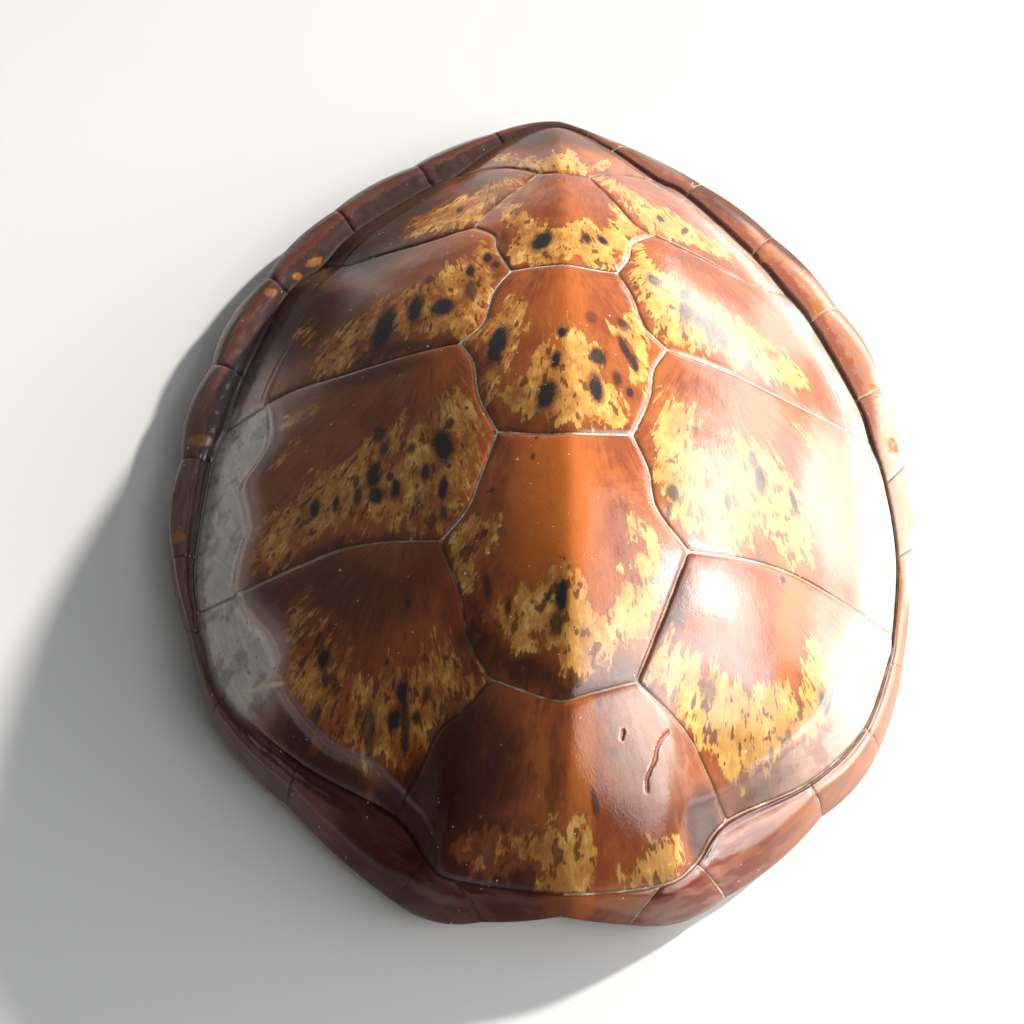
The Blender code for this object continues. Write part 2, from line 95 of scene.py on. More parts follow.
# Outer corners of the marginal scutes, from the neck back: N/M1, M1/M2 ... M11/M12.
OUTER_CORNERS = {
    "left": [(-33, -253), (-73, -245), (-127, -201), (-168, -161), (-186, -117), (-200, -75),
             (-204, -14), (-197, 51), (-173, 115), (-137, 170), (-90, 208), (-42, 236)],
    "right": [(35, -253), (80, -240), (130, -201), (162, -168), (179, -127), (195, -56),
              (198, -4), (193, 48), (173, 108), (139, 162), (97, 203), (53, 231)],
}
NECK_EDGE = (3, -250)
TAIL_EDGE = (5, 249)

# Inner corners of the same scutes, where they meet the seam that runs round the dome.
INNER_CORNERS = {
    "left": [(-46, -240), (-59, -231), (-121, -187), (-161, -153), (-178, -118), (-187, -75),
             (-186, -16), (-175, 40), (-156, 99), (-120, 146), (-75, 184), (-31, 220)],
    "right": [(47, -240), (63, -230), (120, -190), (152, -161), (170, -125), (184, -63),
              (184, -18), (174, 36), (153, 90), (122, 139), (84, 183), (38, 217)],
}
NECK_SEAM = (4, -245)
TAIL_SEAM = (4, 235)

# The seam round the dome on one side, from the neck back: these inner corners, by number, and the
# junctions that lie between them.
RING_ORDER = [0, 1, "a", 2, 3, 4, "l", 5, 6, "k", 7, 8, "j", 9, 10, "i", 11]

# Outward bulge of each scute's edge, from the nuchal scute to M12.
EDGE_BULGE = {
    "left": [1.0, 4.5, 2.0, 2.5, 1.5, 1.5, 3.5, 5.0, 5.5, 4.5, 4.0, 3.5, 2.5],
    "right": [0.5, 5.0, 3.0, 3.0, 1.5, 0.5, 3.5, 5.5, 5.0, 3.5, 3.0, 1.5, 0.5],
}

# Heights round the margin, from the neck to the tail.
GUTTER_HEIGHT = [36, 35, 34, 29, 24, 20, 17, 17, 18, 20, 22, 24, 26, 28]
CREST_HEIGHT = {
    "left": [25, 25, 25, 24, 23, 21, 19.5, 19.5, 20.5, 22.5, 24.5, 26.5, 28, 27],
    "right": [25, 25, 25, 25, 22.5, 19, 17, 17, 17.7, 20, 22.3, 24.5, 26.7, 27],
}
EDGE_HEIGHT = [7, 7, 7, 8, 9, 11, 12, 12, 12, 12, 12, 12, 12, 11]
# How far the rim is turned up rather than rolled over, and the softening of all these in radians.
GUTTER_SHARE = [0.0, 0.0, 0.1, 0.5, 1.0, 1.0, 1.0, 1.0, 1.0, 1.0, 1.0, 1.0, 1.0, 0.8]
BLEND = 0.08
TURN_COUNT = 720
# Where the crest lies between the seam round the dome and the outer edge.
SIDE_CORNERS = 12
CREST_PLACE = {"left": [0.28] + [0.42] * SIDE_CORNERS + [0.28],
               "right": [0.28] + [0.13] * SIDE_CORNERS + [0.28]}
CREST_ROUNDNESS = 0.9
INNER_FACE = (0.35, 0.95)
ROLL_POWER = 1.7
ROLL_ROUNDNESS = 0.75
MARGIN_SHARES = (0.04, 0.09, 0.14, 0.18, 0.22, 0.26, 0.3, 0.34, 0.38, 0.44, 0.52, 0.62, 0.73, 0.83,
                 0.92, 0.975)
RIM_LIFT = 3.0
FOOT_SHARE = 0.35
# Unevenness of the rim's inner face: the size, height and seed of each swing.
RIM_SWINGS = [(6.0, 0.12, 3.5), (2.5, 0.05, 5.5)]

# Points where three seams of the dome meet.
JUNCTIONS = {
    "left": {"a": (-75, -212), "b": (-32, -167), "c": (-56, -106), "d": (-32, -56),
             "e": (-51, 0), "f": (-27, 47), "g": (-47, 97), "h": (-11, 149),
             "i": (-61, 192), "j": (-137, 120), "k": (-181, 5), "l": (-181, -106)},
    "right": {"a": (79, -210), "b": (31, -167), "c": (55, -108), "d": (30, -56),
              "e": (50, 0), "f": (27, 48), "g": (50, 94), "h": (18, 148),
              "i": (66, 194), "j": (141, 110), "k": (179, 9), "l": (175, -109)},
}

# Seams between two junctions of one side: the points that bend them, and how much pale dirt
# fills them.
SIDE_SEAMS = {
    "left": [("a", [(-64, -199), (-55, -184), (-43, -177)], "b", 0.05),
             ("b", [(-42, -151), (-47, -129), (-54, -112)], "c", 0.2),
             ("c", [(-45, -94), (-40, -81)], "d", 1.0), ("d", [(-41, -35), (-44, -15)], "e", 0.9),
             ("e", [(-40, 11), (-35, 33)], "f", 0.8), ("f", [(-34, 68), (-36, 83)], "g", 0.95),
             ("g", [(-40, 110), (-27, 128)], "h", 0.7), ("h", [(-22, 162), (-48, 184)], "i", 0.1),
             ("g", [(-80, 93), (-112, 100)], "j", 0.15), ("e", [(-107, 3), (-143, 8)], "k", 0.0),
             ("c", [(-102, -99), (-152, -104)], "l", 0.5)],
    "right": [("a", [(65, -193), (55, -182)], "b", 0.5),
              ("b", [(43, -138)], "c", 0.35),
              ("c", [(40, -91), (37, -73)], "d", 0.8), ("d", [(39, -34), (42, -16)], "e", 0.8),
              ("e", [(39, 11), (34, 31)], "f", 0.7), ("f", [(34, 63), (38, 80)], "g", 1.0),
              ("g", [(40, 103), (30, 125)], "h", 0.4), ("h", [(31, 163), (49, 179)], "i", 0.3),
              ("g", [(73, 90), (108, 89)], "j", 0.6), ("e", [(114, 0), (155, 4)], "k", 0.8),
              ("c", [(104, -102), (152, -107)], "l", 0.7)],
}

# Seams that cross the midline, from the left junction to the right one.
CROSS_SEAMS = [("b", [(-11, -175), (0, -177), (13, -173)], 0.45), ("d", [(-2, -62)], 0.8),
               ("f", [(-12, 48), (13, 47)], 0.85), ("h", [(3, 145)], 0.45)]
RING_DIRT = {"left": 0.0, "right": 0.6}
MARGIN_DIRT = {"left": -0.1, "right": 0.5}

# Edge of the thick bone above the sunken strip: x, y, the strip's depth there, and how much of
# its brown horn has gone grey.
BONE_EDGE = {
    "left": [(-53, -230, 0.0, 0.0), (-56, -222, 0.6, 0.0), (-62, -213, 0.8, 0.0),
             (-72, -202, 0.9, 0.0), (-81, -194, 0.9, 0.0), (-91, -188, 1.0, 0.0),
             (-105, -182, 1.1, 0.0), (-117, -171, 1.2, 0.0), (-125, -161, 1.4, 0.05),
             (-130, -154, 1.8, 0.3), (-134, -149, 2.0, 0.9), (-132, -144, 2.1, 1.0),
             (-134, -138, 2.2, 1.0), (-139, -130, 2.2, 1.0), (-147, -121, 2.2, 1.0),
             (-154, -112, 2.2, 1.0), (-159, -100, 2.2, 1.0), (-159, -91, 2.2, 1.0),
             (-157, -81, 2.2, 1.0), (-154, -72, 2.2, 1.0), (-158, -58, 2.2, 1.0),
             (-162, -48, 2.2, 1.0), (-162, -41, 2.2, 1.0), (-156, -34, 2.2, 1.0),
             (-150, -24, 2.1, 1.0), (-149, -16, 2.0, 1.0), (-152, -2, 1.9, 0.95),
             (-155, 5, 1.7, 0.9), (-158, 12, 1.2, 0.2), (-146, 46, 0.7, 0.05),
             (-130, 94, 0.5, 0.0), (-99, 136, 0.5, 0.0), (-58, 172, 0.3, 0.0),
             (-20, 209, 0.0, 0.0)],
    "right": [(52, -231, 0.0, 0.0), (56, -210, 1.4, 0.05), (84, -194, 0.8, 0.1),
              (125, -164, 1.6, 0.5), (136, -135, 1.8, 0.8), (154, -107, 1.4, 0.8),
              (161, -60, 1.2, 0.7), (163, -17, 1.2, 0.6), (159, 18, 1.2, 0.5),
              (144, 59, 1.4, 0.5), (116, 97, 1.6, 0.4), (96, 124, 1.4, 0.35),
              (63, 179, 1.0, 0.2), (24, 209, 0.0, 0.0)],
}
LIP_HEIGHT = 0.9
LIP_WIDTH = 1.8
LIP_FULL_DEPTH = 1.5
STEP_WIDTH = 3.6

# The keel, the swell of each scute, and the small unevenness of the horn.
KEEL_X = 1.5
KEEL_ENDS = (-235.0, 238.0)
KEEL_FADES = (40.0, 25.0)
KEEL_HEIGHT = 2.2
KEEL_WIDTH = 14.0
KEEL_SHARPNESS = 1.5
TAIL_KEEL_HEIGHT = 5.0
TAIL_KEEL_START = 60.0
TAIL_KEEL_GROWTH = 120.0
SCUTE_RISE = 0.9
SCUTE_EDGE = 14.0
HORN_SWINGS = [(26.0, 0.35, 1.5), (9.0, 0.12, 7.5)]
# Seams and unevenness fade out over these distances from the outer edge.
GROOVE_FADE = 6.0
UNEVEN_FADE = 8.0

# The foot, the inner wall, the backbone and the ribs.
FOOT_INSET = 4.0
FOOT_WIDTH = 8.0
WALL_START = FOOT_INSET + FOOT_WIDTH
WALL_SLOPE = 1.5
UNDERSIDE_RINGS = (0.4, 1.0, 2.0, 3.0, FOOT_INSET, 8.0, WALL_START, 16.0)
SPINE_HALF_WIDTH = 9.0
SPINE_RELIEF = 3.0
RIB_PAIRS = 8
RIB_ROW = (-190.0, 170.0)
RIB_RELIEF = 1.2
RIB_BEND = 0.25
RIB_START = 25.0
RIB_REACH = 150.0
RELIEF_BLEND = 30.0
LINING_GAP = 1.5
# The wall's slope is measured over this reach to either side, and isn't taken as any steeper.
SLOPE_REACH = 2.0
STEEPEST = 2.2

# For each scute: a point inside it, and the point its streaks run from.
SCUTES = {
    "V1": ((0, -210), (0, -90)), "V2": ((0, -110), (0, 10)), "V3": ((0, -10), (0, 78)),
    "V4": ((0, 95), (2, 190)), "V5": ((5, 190), (2, 95)),
    "C1L": ((-101, -147), (-71, -88)), "C2L": ((-103, -48), (-66, 7)),
    "C3L": ((-101, 49), (-65, 96)), "C4L": ((-75, 133), (-35, 169)),
    "C1R": ((102, -147), (73, -82)), "C2R": ((106, -47), (70, 16)),
    "C3R": ((104, 51), (67, 99)), "C4R": ((76, 134), (38, 173)),
}

AMBER = {
    "V1": [
        [(-44, -230), (-38, -226), (-30, -226), (-24, -224), (-14, -226), (-8, -222), (-4, -220),
         (1, -226), (6, -220), (10, -221), (14, -225), (17, -230), (16, -238), (10, -243), (0, -245),
         (-6, -242), (-10, -236), (-18, -233), (-28, -232), (-36, -234)],
        [(30, -228), (36, -231), (40, -226), (48, -226), (53, -230), (52, -236), (44, -240), (34, -241),
         (28, -240), (26, -234)]],
    "V2": [
        [(-50, -100), (-44, -96), (-40, -96), (-35, -101), (-32, -106), (-34, -114), (-40, -116),
         (-42, -124), (-45, -129), (-49, -119), (-51, -108)],
        [(-6, -124), (-3, -130), (0, -131), (6, -132), (9, -140), (10, -152), (8, -160), (0, -163),
         (-6, -158), (-12, -154), (-20, -156), (-27, -151), (-28, -143), (-24, -139), (-18, -135),
         (-13, -134), (-10, -128)],
        [(31, -100), (37, -101), (43, -109), (46, -115), (47, -123), (43, -134), (39, -145), (34, -151),
         (26, -149), (20, -155), (14, -160), (12, -148), (18, -139), (26, -133), (30, -125), (35, -116),
         (33, -108)]],
    "V3": [
        [(-29, 27), (-23, 23), (-17, 18), (-20, 7), (-24, -4), (-24, -18), (-30, -31), (-36, -32),
         (-37, -20), (-44, -8), (-42, 4), (-37, 9), (-32, 14)],
        [(-3, 7), (0, 0), (4, -6), (8, -3), (12, -9), (14, -19), (18, -27), (22, -32), (27, -41),
         (29, -50), (14, -54), (0, -56), (-14, -53), (-24, -49), (-30, -42), (-34, -34), (-26, -32),
         (-20, -28), (-16, -24), (-12, -15), (-9, -9), (-6, -1)],
        [(35, 19), (31, 17), (27, 8), (22, 4), (24, -2), (29, -6), (32, -13), (34, -23), (37, -33),
         (38, -26), (39, -12), (41, -2), (42, 6), (40, 15)]],
    "V4": [
        [(-36, 118), (-31, 122), (-26, 115), (-22, 113), (-20, 105), (-15, 99), (-13, 93), (-9, 84),
         (-3, 85), (1, 89), (5, 93), (8, 89), (14, 92), (18, 87), (23, 87), (27, 91), (30, 104),
         (31, 117), (36, 114), (40, 105), (43, 95), (38, 84), (35, 74), (31, 62), (27, 52), (14, 50),
         (4, 50), (-3, 52), (-14, 51), (-22, 53), (-25, 63), (-25, 73), (-22, 83), (-29, 93),
         (-33, 106)]],
    "V5": [
        [(-14, 151), (-24, 167), (-32, 183), (-34, 193), (-26, 191), (-18, 177), (-12, 169), (-6, 173),
         (-2, 176), (4, 172), (8, 179), (14, 171), (18, 167), (22, 173), (28, 185), (33, 189),
         (32, 177), (26, 165), (21, 155), (18, 149), (4, 144), (-8, 147)]],
    "C1L": [
        [(-130, -121), (-122, -118), (-117, -125), (-120, -133), (-126, -136), (-131, -130)],
        [(-123, -138), (-115, -134), (-110, -130), (-108, -138), (-103, -138), (-100, -145),
         (-104, -153), (-113, -156), (-122, -156), (-128, -147)],
        [(-128, -150), (-119, -145), (-109, -149), (-99, -147), (-94, -156), (-86, -159), (-78, -152),
         (-71, -158), (-62, -156), (-58, -147), (-53, -151), (-46, -157), (-38, -165), (-44, -173),
         (-54, -181), (-58, -188), (-70, -192), (-84, -189), (-96, -184), (-108, -177), (-117, -169),
         (-123, -160)]],
    "C2L": [
        [(-52, -27), (-47, -36), (-43, -46), (-38, -55), (-40, -67), (-43, -80), (-46, -92),
         (-54, -100), (-67, -100), (-77, -94), (-92, -92), (-102, -89), (-115, -91), (-129, -95),
         (-143, -97), (-153, -96), (-154, -85), (-151, -76), (-140, -71), (-127, -67), (-124, -58),
         (-121, -51), (-111, -51), (-103, -48), (-94, -43), (-86, -45), (-79, -39), (-73, -44),
         (-67, -41), (-61, -36), (-56, -32)],
        [(-128, -13), (-138, -17), (-145, -16), (-140, -11)],
        [(-130, -29), (-142, -38), (-148, -38), (-138, -28)]],
    "C3L": [
        [(-42, 79), (-38, 74), (-37, 64), (-38, 54), (-36, 46), (-38, 36), (-40, 25), (-42, 13),
         (-48, 6), (-56, 9), (-65, 7), (-73, 12), (-81, 17), (-89, 16), (-94, 22), (-102, 15),
         (-108, 8), (-119, 9), (-131, 16), (-129, 26), (-122, 33), (-112, 37), (-102, 41), (-91, 46),
         (-81, 48), (-70, 53), (-62, 57), (-52, 62), (-46, 69)],
        [(-144, 49), (-136, 52), (-131, 44), (-134, 38), (-140, 39)]],
    "C4L": [
        [(-20, 144), (-28, 149), (-37, 150), (-44, 145), (-52, 142), (-60, 137), (-70, 133), (-78, 128),
         (-84, 119), (-82, 109), (-76, 103), (-66, 102), (-56, 103), (-48, 103), (-42, 108), (-40, 120),
         (-37, 130), (-30, 136), (-22, 140)]],
    "C1R": [
        [(46, -148), (53, -152), (63, -158), (73, -156), (81, -160), (92, -155), (100, -157),
         (105, -153), (110, -160), (115, -147), (115, -131), (122, -129), (128, -131), (131, -140),
         (135, -147), (140, -154), (135, -163), (125, -167), (119, -175), (107, -181), (97, -187),
         (84, -194), (76, -196), (70, -189), (63, -183), (55, -177), (44, -171), (38, -165),
         (40, -157)]],
    "C2R": [
        [(41, -40), (46, -32), (52, -29), (61, -31), (63, -41), (62, -49), (67, -57), (74, -56),
         (77, -47), (84, -37), (88, -42), (93, -37), (98, -43), (103, -39), (108, -46), (115, -53),
         (122, -59), (126, -70), (123, -84), (118, -97), (109, -95), (103, -93), (96, -95), (92, -86),
         (86, -96), (75, -102), (64, -100), (54, -99), (47, -92), (43, -79), (40, -63)],
        [(125, -14), (134, -19), (142, -28), (136, -32), (128, -25)]],
    "C3R": [
        [(42, 75), (47, 65), (54, 59), (61, 56), (68, 52), (76, 49), (86, 46), (96, 41), (104, 39),
         (115, 38), (124, 33), (134, 26), (138, 18), (131, 9), (120, 11), (116, 5), (106, 6), (97, 9),
         (88, 6), (77, 8), (66, 8), (58, 6), (49, 3), (45, 12), (42, 23), (39, 35), (33, 44), (32, 52),
         (36, 62)]],
    "C4R": [
        [(25, 156), (33, 152), (43, 145), (52, 139), (63, 135), (71, 129), (81, 126), (91, 121),
         (99, 116), (100, 103), (90, 102), (79, 103), (71, 99), (63, 102), (55, 97), (51, 101),
         (46, 107), (42, 114), (38, 124), (34, 134), (28, 141), (23, 147)]],
}

# Purple-brown patches, most of them along a scute's front edge.
DARK = {
    "V1": [
        [(-50, -238), (-30, -233), (-14, -236), (-8, -243), (-20, -245), (-40, -243)]],
    "V2": [
        [(-38, -149), (-30, -147), (-22, -156), (-12, -157), (-4, -163), (6, -163), (12, -158),
         (26, -159), (30, -165), (14, -172), (0, -176), (-14, -172), (-32, -166)],
        [(-52, -108), (-47, -121), (-44, -138), (-40, -149), (-38, -143), (-42, -126), (-46, -113)]],
    "V3": [
        [(-32, -54), (-28, -47), (-16, -52), (0, -57), (14, -55), (27, -52), (29, -56), (0, -62)],
        [(-34, 32), (-29, 28), (-33, 14), (-38, 7), (-42, 7), (-38, 15)]],
    "V4": [
        [(-35, 92), (-28, 87), (-26, 77), (-26, 61), (-24, 51), (-30, 56), (-34, 70)],
        [(-33, 113), (-26, 112), (-20, 106), (-22, 100), (-30, 101)],
        [(-20, 55), (-4, 53), (-4, 47), (-20, 49)],
        [(11, 49), (13, 59), (17, 59), (18, 48)]],
    "V5": [
        [(-10, 149), (-16, 161), (-12, 167), (-6, 158)],
        [(18, 151), (20, 169), (28, 173), (34, 167), (24, 155)]],
    "C2L": [
        [(-153, -99), (-123, -94), (-102, -90), (-90, -94), (-71, -97), (-58, -105), (-81, -103),
         (-153, -103)]],
    "C3L": [
        [(-113, 8), (-102, 14), (-89, 15), (-71, 9), (-58, 9), (-50, 2), (-60, 0), (-102, 3)]],
    "C4L": [
        [(-37, 140), (-32, 138), (-29, 130), (-34, 115), (-39, 102), (-46, 97), (-56, 95), (-70, 94),
         (-85, 98), (-74, 104), (-50, 102), (-44, 107), (-40, 120)]],
    "C1R": [
        [(53, -112), (51, -127), (48, -144), (43, -155), (34, -164), (38, -151), (47, -128)]],
    "C2R": [
        [(32, -60), (35, -60), (40, -71), (43, -88), (40, -90), (37, -74)],
        [(87, -89), (96, -89), (96, -102), (84, -103)]],
    "C3R": [
        [(29, 48), (33, 42), (37, 31), (42, 13), (39, 13), (34, 30)]],
    "C4R": [
        [(51, 94), (55, 99), (73, 101), (75, 92)],
        [(38, 108), (42, 122), (46, 114), (44, 104)]],
}

# Black spots: x, y, half width, half length, lean in degrees (clockwise), darkness.
SPOTS = [
    (-11, 69.5, 4.2, 7.5, 25, 1.0), (12.5, 73, 2.0, 4.2, 0, 0.9), (21, 75, 2.2, 3.8, -20, 1.0),
    (-33, -6.5, 4.2, 11.5, 14, 1.0), (-2.5, -3.5, 2.0, 3.2, 0, 1.0), (-5.5, -20.5, 1.9, 5.0, 10, 1.0),
    (14.5, -16.5, 3.4, 4.8, 0, 0.9), (27.5, -7, 1.7, 8.0, -18, 0.9), (32.5, -16, 1.8, 5.0, -8, 0.9),
    (23.5, -27.5, 2.0, 4.0, 0, 0.7), (-10, -40.5, 3.9, 7.0, 12, 1.0), (13, -35.5, 3.0, 7.0, -5, 1.0),
    (29.5, -33.5, 1.6, 2.4, 0, 0.9), (27.5, 8, 2.5, 4.0, -20, 0.6), (12, 9, 2.6, 4.0, 0, 0.45),
    (-3, -137, 2.5, 6.5, 0, 1.0), (-5, -148, 2.5, 4.6, 0, 0.75), (-25.5, -139, 1.4, 3.5, 0, 0.8),
    (-35, -129.5, 1.8, 6.0, -8, 0.7), (-8.5, -137, 1.0, 2.0, 0, 0.8), (-34, -86.5, 2.2, 1.0, 0, 0.7),
    (-16, -72.5, 1.0, 2.0, 0, 0.6), (-14, -62.5, 1.0, 1.0, 0, 0.7), (21.5, -194, 1.4, 1.8, 0, 0.6),
    (14.5, -213, 1.4, 5.0, -15, 0.6), (15, -176, 1.6, 1.8, 0, 0.6), (-39, 61.5, 2.2, 4.0, 0, 1.0),
    (-47.5, 52, 2.0, 4.6, 0, 0.95), (-34.5, 54, 1.8, 3.0, 0, 0.8), (-47, 36.5, 3.0, 7.0, 0, 0.6),
    (-61, 27.5, 5.0, 6.0, 0, 1.0), (-75, 32, 3.5, 9.0, 0, 1.0), (-91, 25, 4.5, 12.0, 6, 1.0),
    (-68.5, 52.5, 2.5, 3.0, 0, 0.5), (-57, -58, 4.0, 8.0, -14, 1.0), (-54.5, -47, 2.0, 2.6, 0, 0.8),
    (-90, -65, 2.8, 6.0, 0, 1.0), (-88, -76, 2.8, 4.2, -20, 0.95), (-78.5, -75.5, 2.0, 4.5, 0, 1.0),
    (-81.5, -68.5, 1.3, 2.2, 0, 0.9), (-64.5, -70.5, 1.8, 4.0, 0, 0.9), (-56, -81, 1.8, 5.0, 0, 1.0),
    (-97, -74, 1.8, 4.5, 0, 0.8), (-108, -74.5, 1.4, 4.0, 0, 0.9), (-119, -73.5, 2.2, 4.8, 0, 1.0),
    (-89, -42.5, 2.4, 4.0, 0, 0.7), (-85.5, -52, 1.8, 3.5, 0, 0.7), (-72, -55.5, 1.6, 2.6, 0, 0.7),
    (-151, -35, 3.0, 4.0, 10, 0.9), (-98.5, -65.5, 1.5, 3.5, 0, 0.6), (-68, -85, 1.6, 4.0, 0, 0.45),
    (-55.5, -94, 1.6, 3.5, 0, 0.6), (-71.5, -167, 2.3, 4.6, 0, 1.0), (-75, -176.5, 2.4, 4.0, 0, 1.0),
    (-109, -147, 2.6, 4.0, 0, 1.0), (-108, -155.5, 1.4, 3.0, 0, 0.8), (-102.5, -160, 1.8, 3.0, 0, 0.5),
    (-64.5, -177, 2.0, 2.5, 0, 0.8), (-70, -130.5, 1.5, 3.0, -15, 0.6),
    (-112.5, -168.5, 2.0, 5.0, 25, 0.7), (-86.5, -179, 2.6, 10.0, 0, 0.7),
    (-69.5, -180, 1.5, 11.0, 0, 0.8), (-60, -168.5, 1.6, 3.0, 0, 0.6), (-111.5, -138, 1.6, 2.5, 0, 0.5),
    (-55.5, 121.5, 1.8, 3.6, 0, 0.9), (57.5, 118.5, 1.9, 3.3, -10, 0.9), (72, 114.5, 1.6, 4.6, 20, 0.9),
    (66.5, 131.5, 1.6, 4.0, 0, 0.5), (87.5, 110, 1.6, 2.4, 0, 0.4), (48.5, 128.5, 1.2, 2.6, 0, 0.4),
    (46.5, 49, 3.3, 4.5, 0, 0.75), (63.5, 45, 2.4, 4.0, 0, 0.9), (63.5, 31.5, 3.4, 6.0, 0, 1.0),
    (69, 29, 2.0, 6.0, 0, 0.9), (75.5, 26.5, 4.5, 8.0, 0, 0.95), (82, 20.5, 3.5, 6.5, 0, 1.0),
    (113.5, 28, 4.0, 4.0, 0, 0.5), (102, 18.5, 3.0, 2.0, 0, 0.5), (110.5, 8, 1.3, 5.0, -8, 0.7),
    (55, 31, 1.4, 2.0, 0, 0.7), (36.5, 40.5, 1.6, 3.0, 0, 0.5), (74.5, 13, 1.4, 3.0, 0, 0.5),
    (92.5, -48.5, 2.0, 4.2, 0, 0.85), (96, -58, 2.8, 7.5, 0, 1.0), (115, -63, 2.0, 6.0, -14, 0.9),
    (67.5, -71.5, 2.6, 5.0, 0, 0.6), (76.5, -77.5, 1.7, 4.6, 0, 0.95), (48.5, -81.5, 2.5, 4.0, 0, 0.85),
    (46.5, -90.5, 1.1, 5.0, 10, 0.7), (131.5, -77.5, 1.8, 3.5, 0, 0.4),
    (143.5, -78.5, 1.8, 5.0, 0, 0.4), (62, -44, 1.6, 2.4, 0, 0.6), (153, -5.5, 3.0, 4.0, 0, 0.3),
    (69.5, -56.5, 1.0, 3.0, 0, 0.5), (104.5, -107, 1.4, 2.0, 0, 1.0), (132.5, -138.5, 1.5, 5.5, 0, 0.9),
    (126.5, -157, 2.6, 5.0, -20, 1.0), (130.5, -154.5, 1.4, 3.4, 0, 0.8),
    (65.5, -164.5, 3.0, 4.5, 0, 0.55), (98.5, -183, 1.2, 3.0, 0, 0.7), (107, -174.5, 1.6, 3.4, 0, 0.5),
    (95, -153, 1.6, 1.6, 0, 0.4),
]

# Small torn places on the front right of the neck scute, and the torn flake on the left.
SCARS = [[(46, -184), (43, -187), (41, -191), (40.5, -195), (38.5, -199), (37, -203), (37.2, -207)],
         [(25.5, -186), (25, -189)]]
SCAR_WIDTH = 0.9
SCAR_DEPTH = 0.6
SCAR_EDGE = 0.25
CRUMB_PLACE = 1.4
CRUMB_WIDTH = 0.5
CRUMB_SWINGS = [(3.0, 2.0, 2.5)]
SPUR = [(-130, -154), (-135, -152.5), (-141, -151), (-144, -153), (-150, -151)]
SPUR_WIDTH = 0.8
SPUR_HEIGHT = 0.6

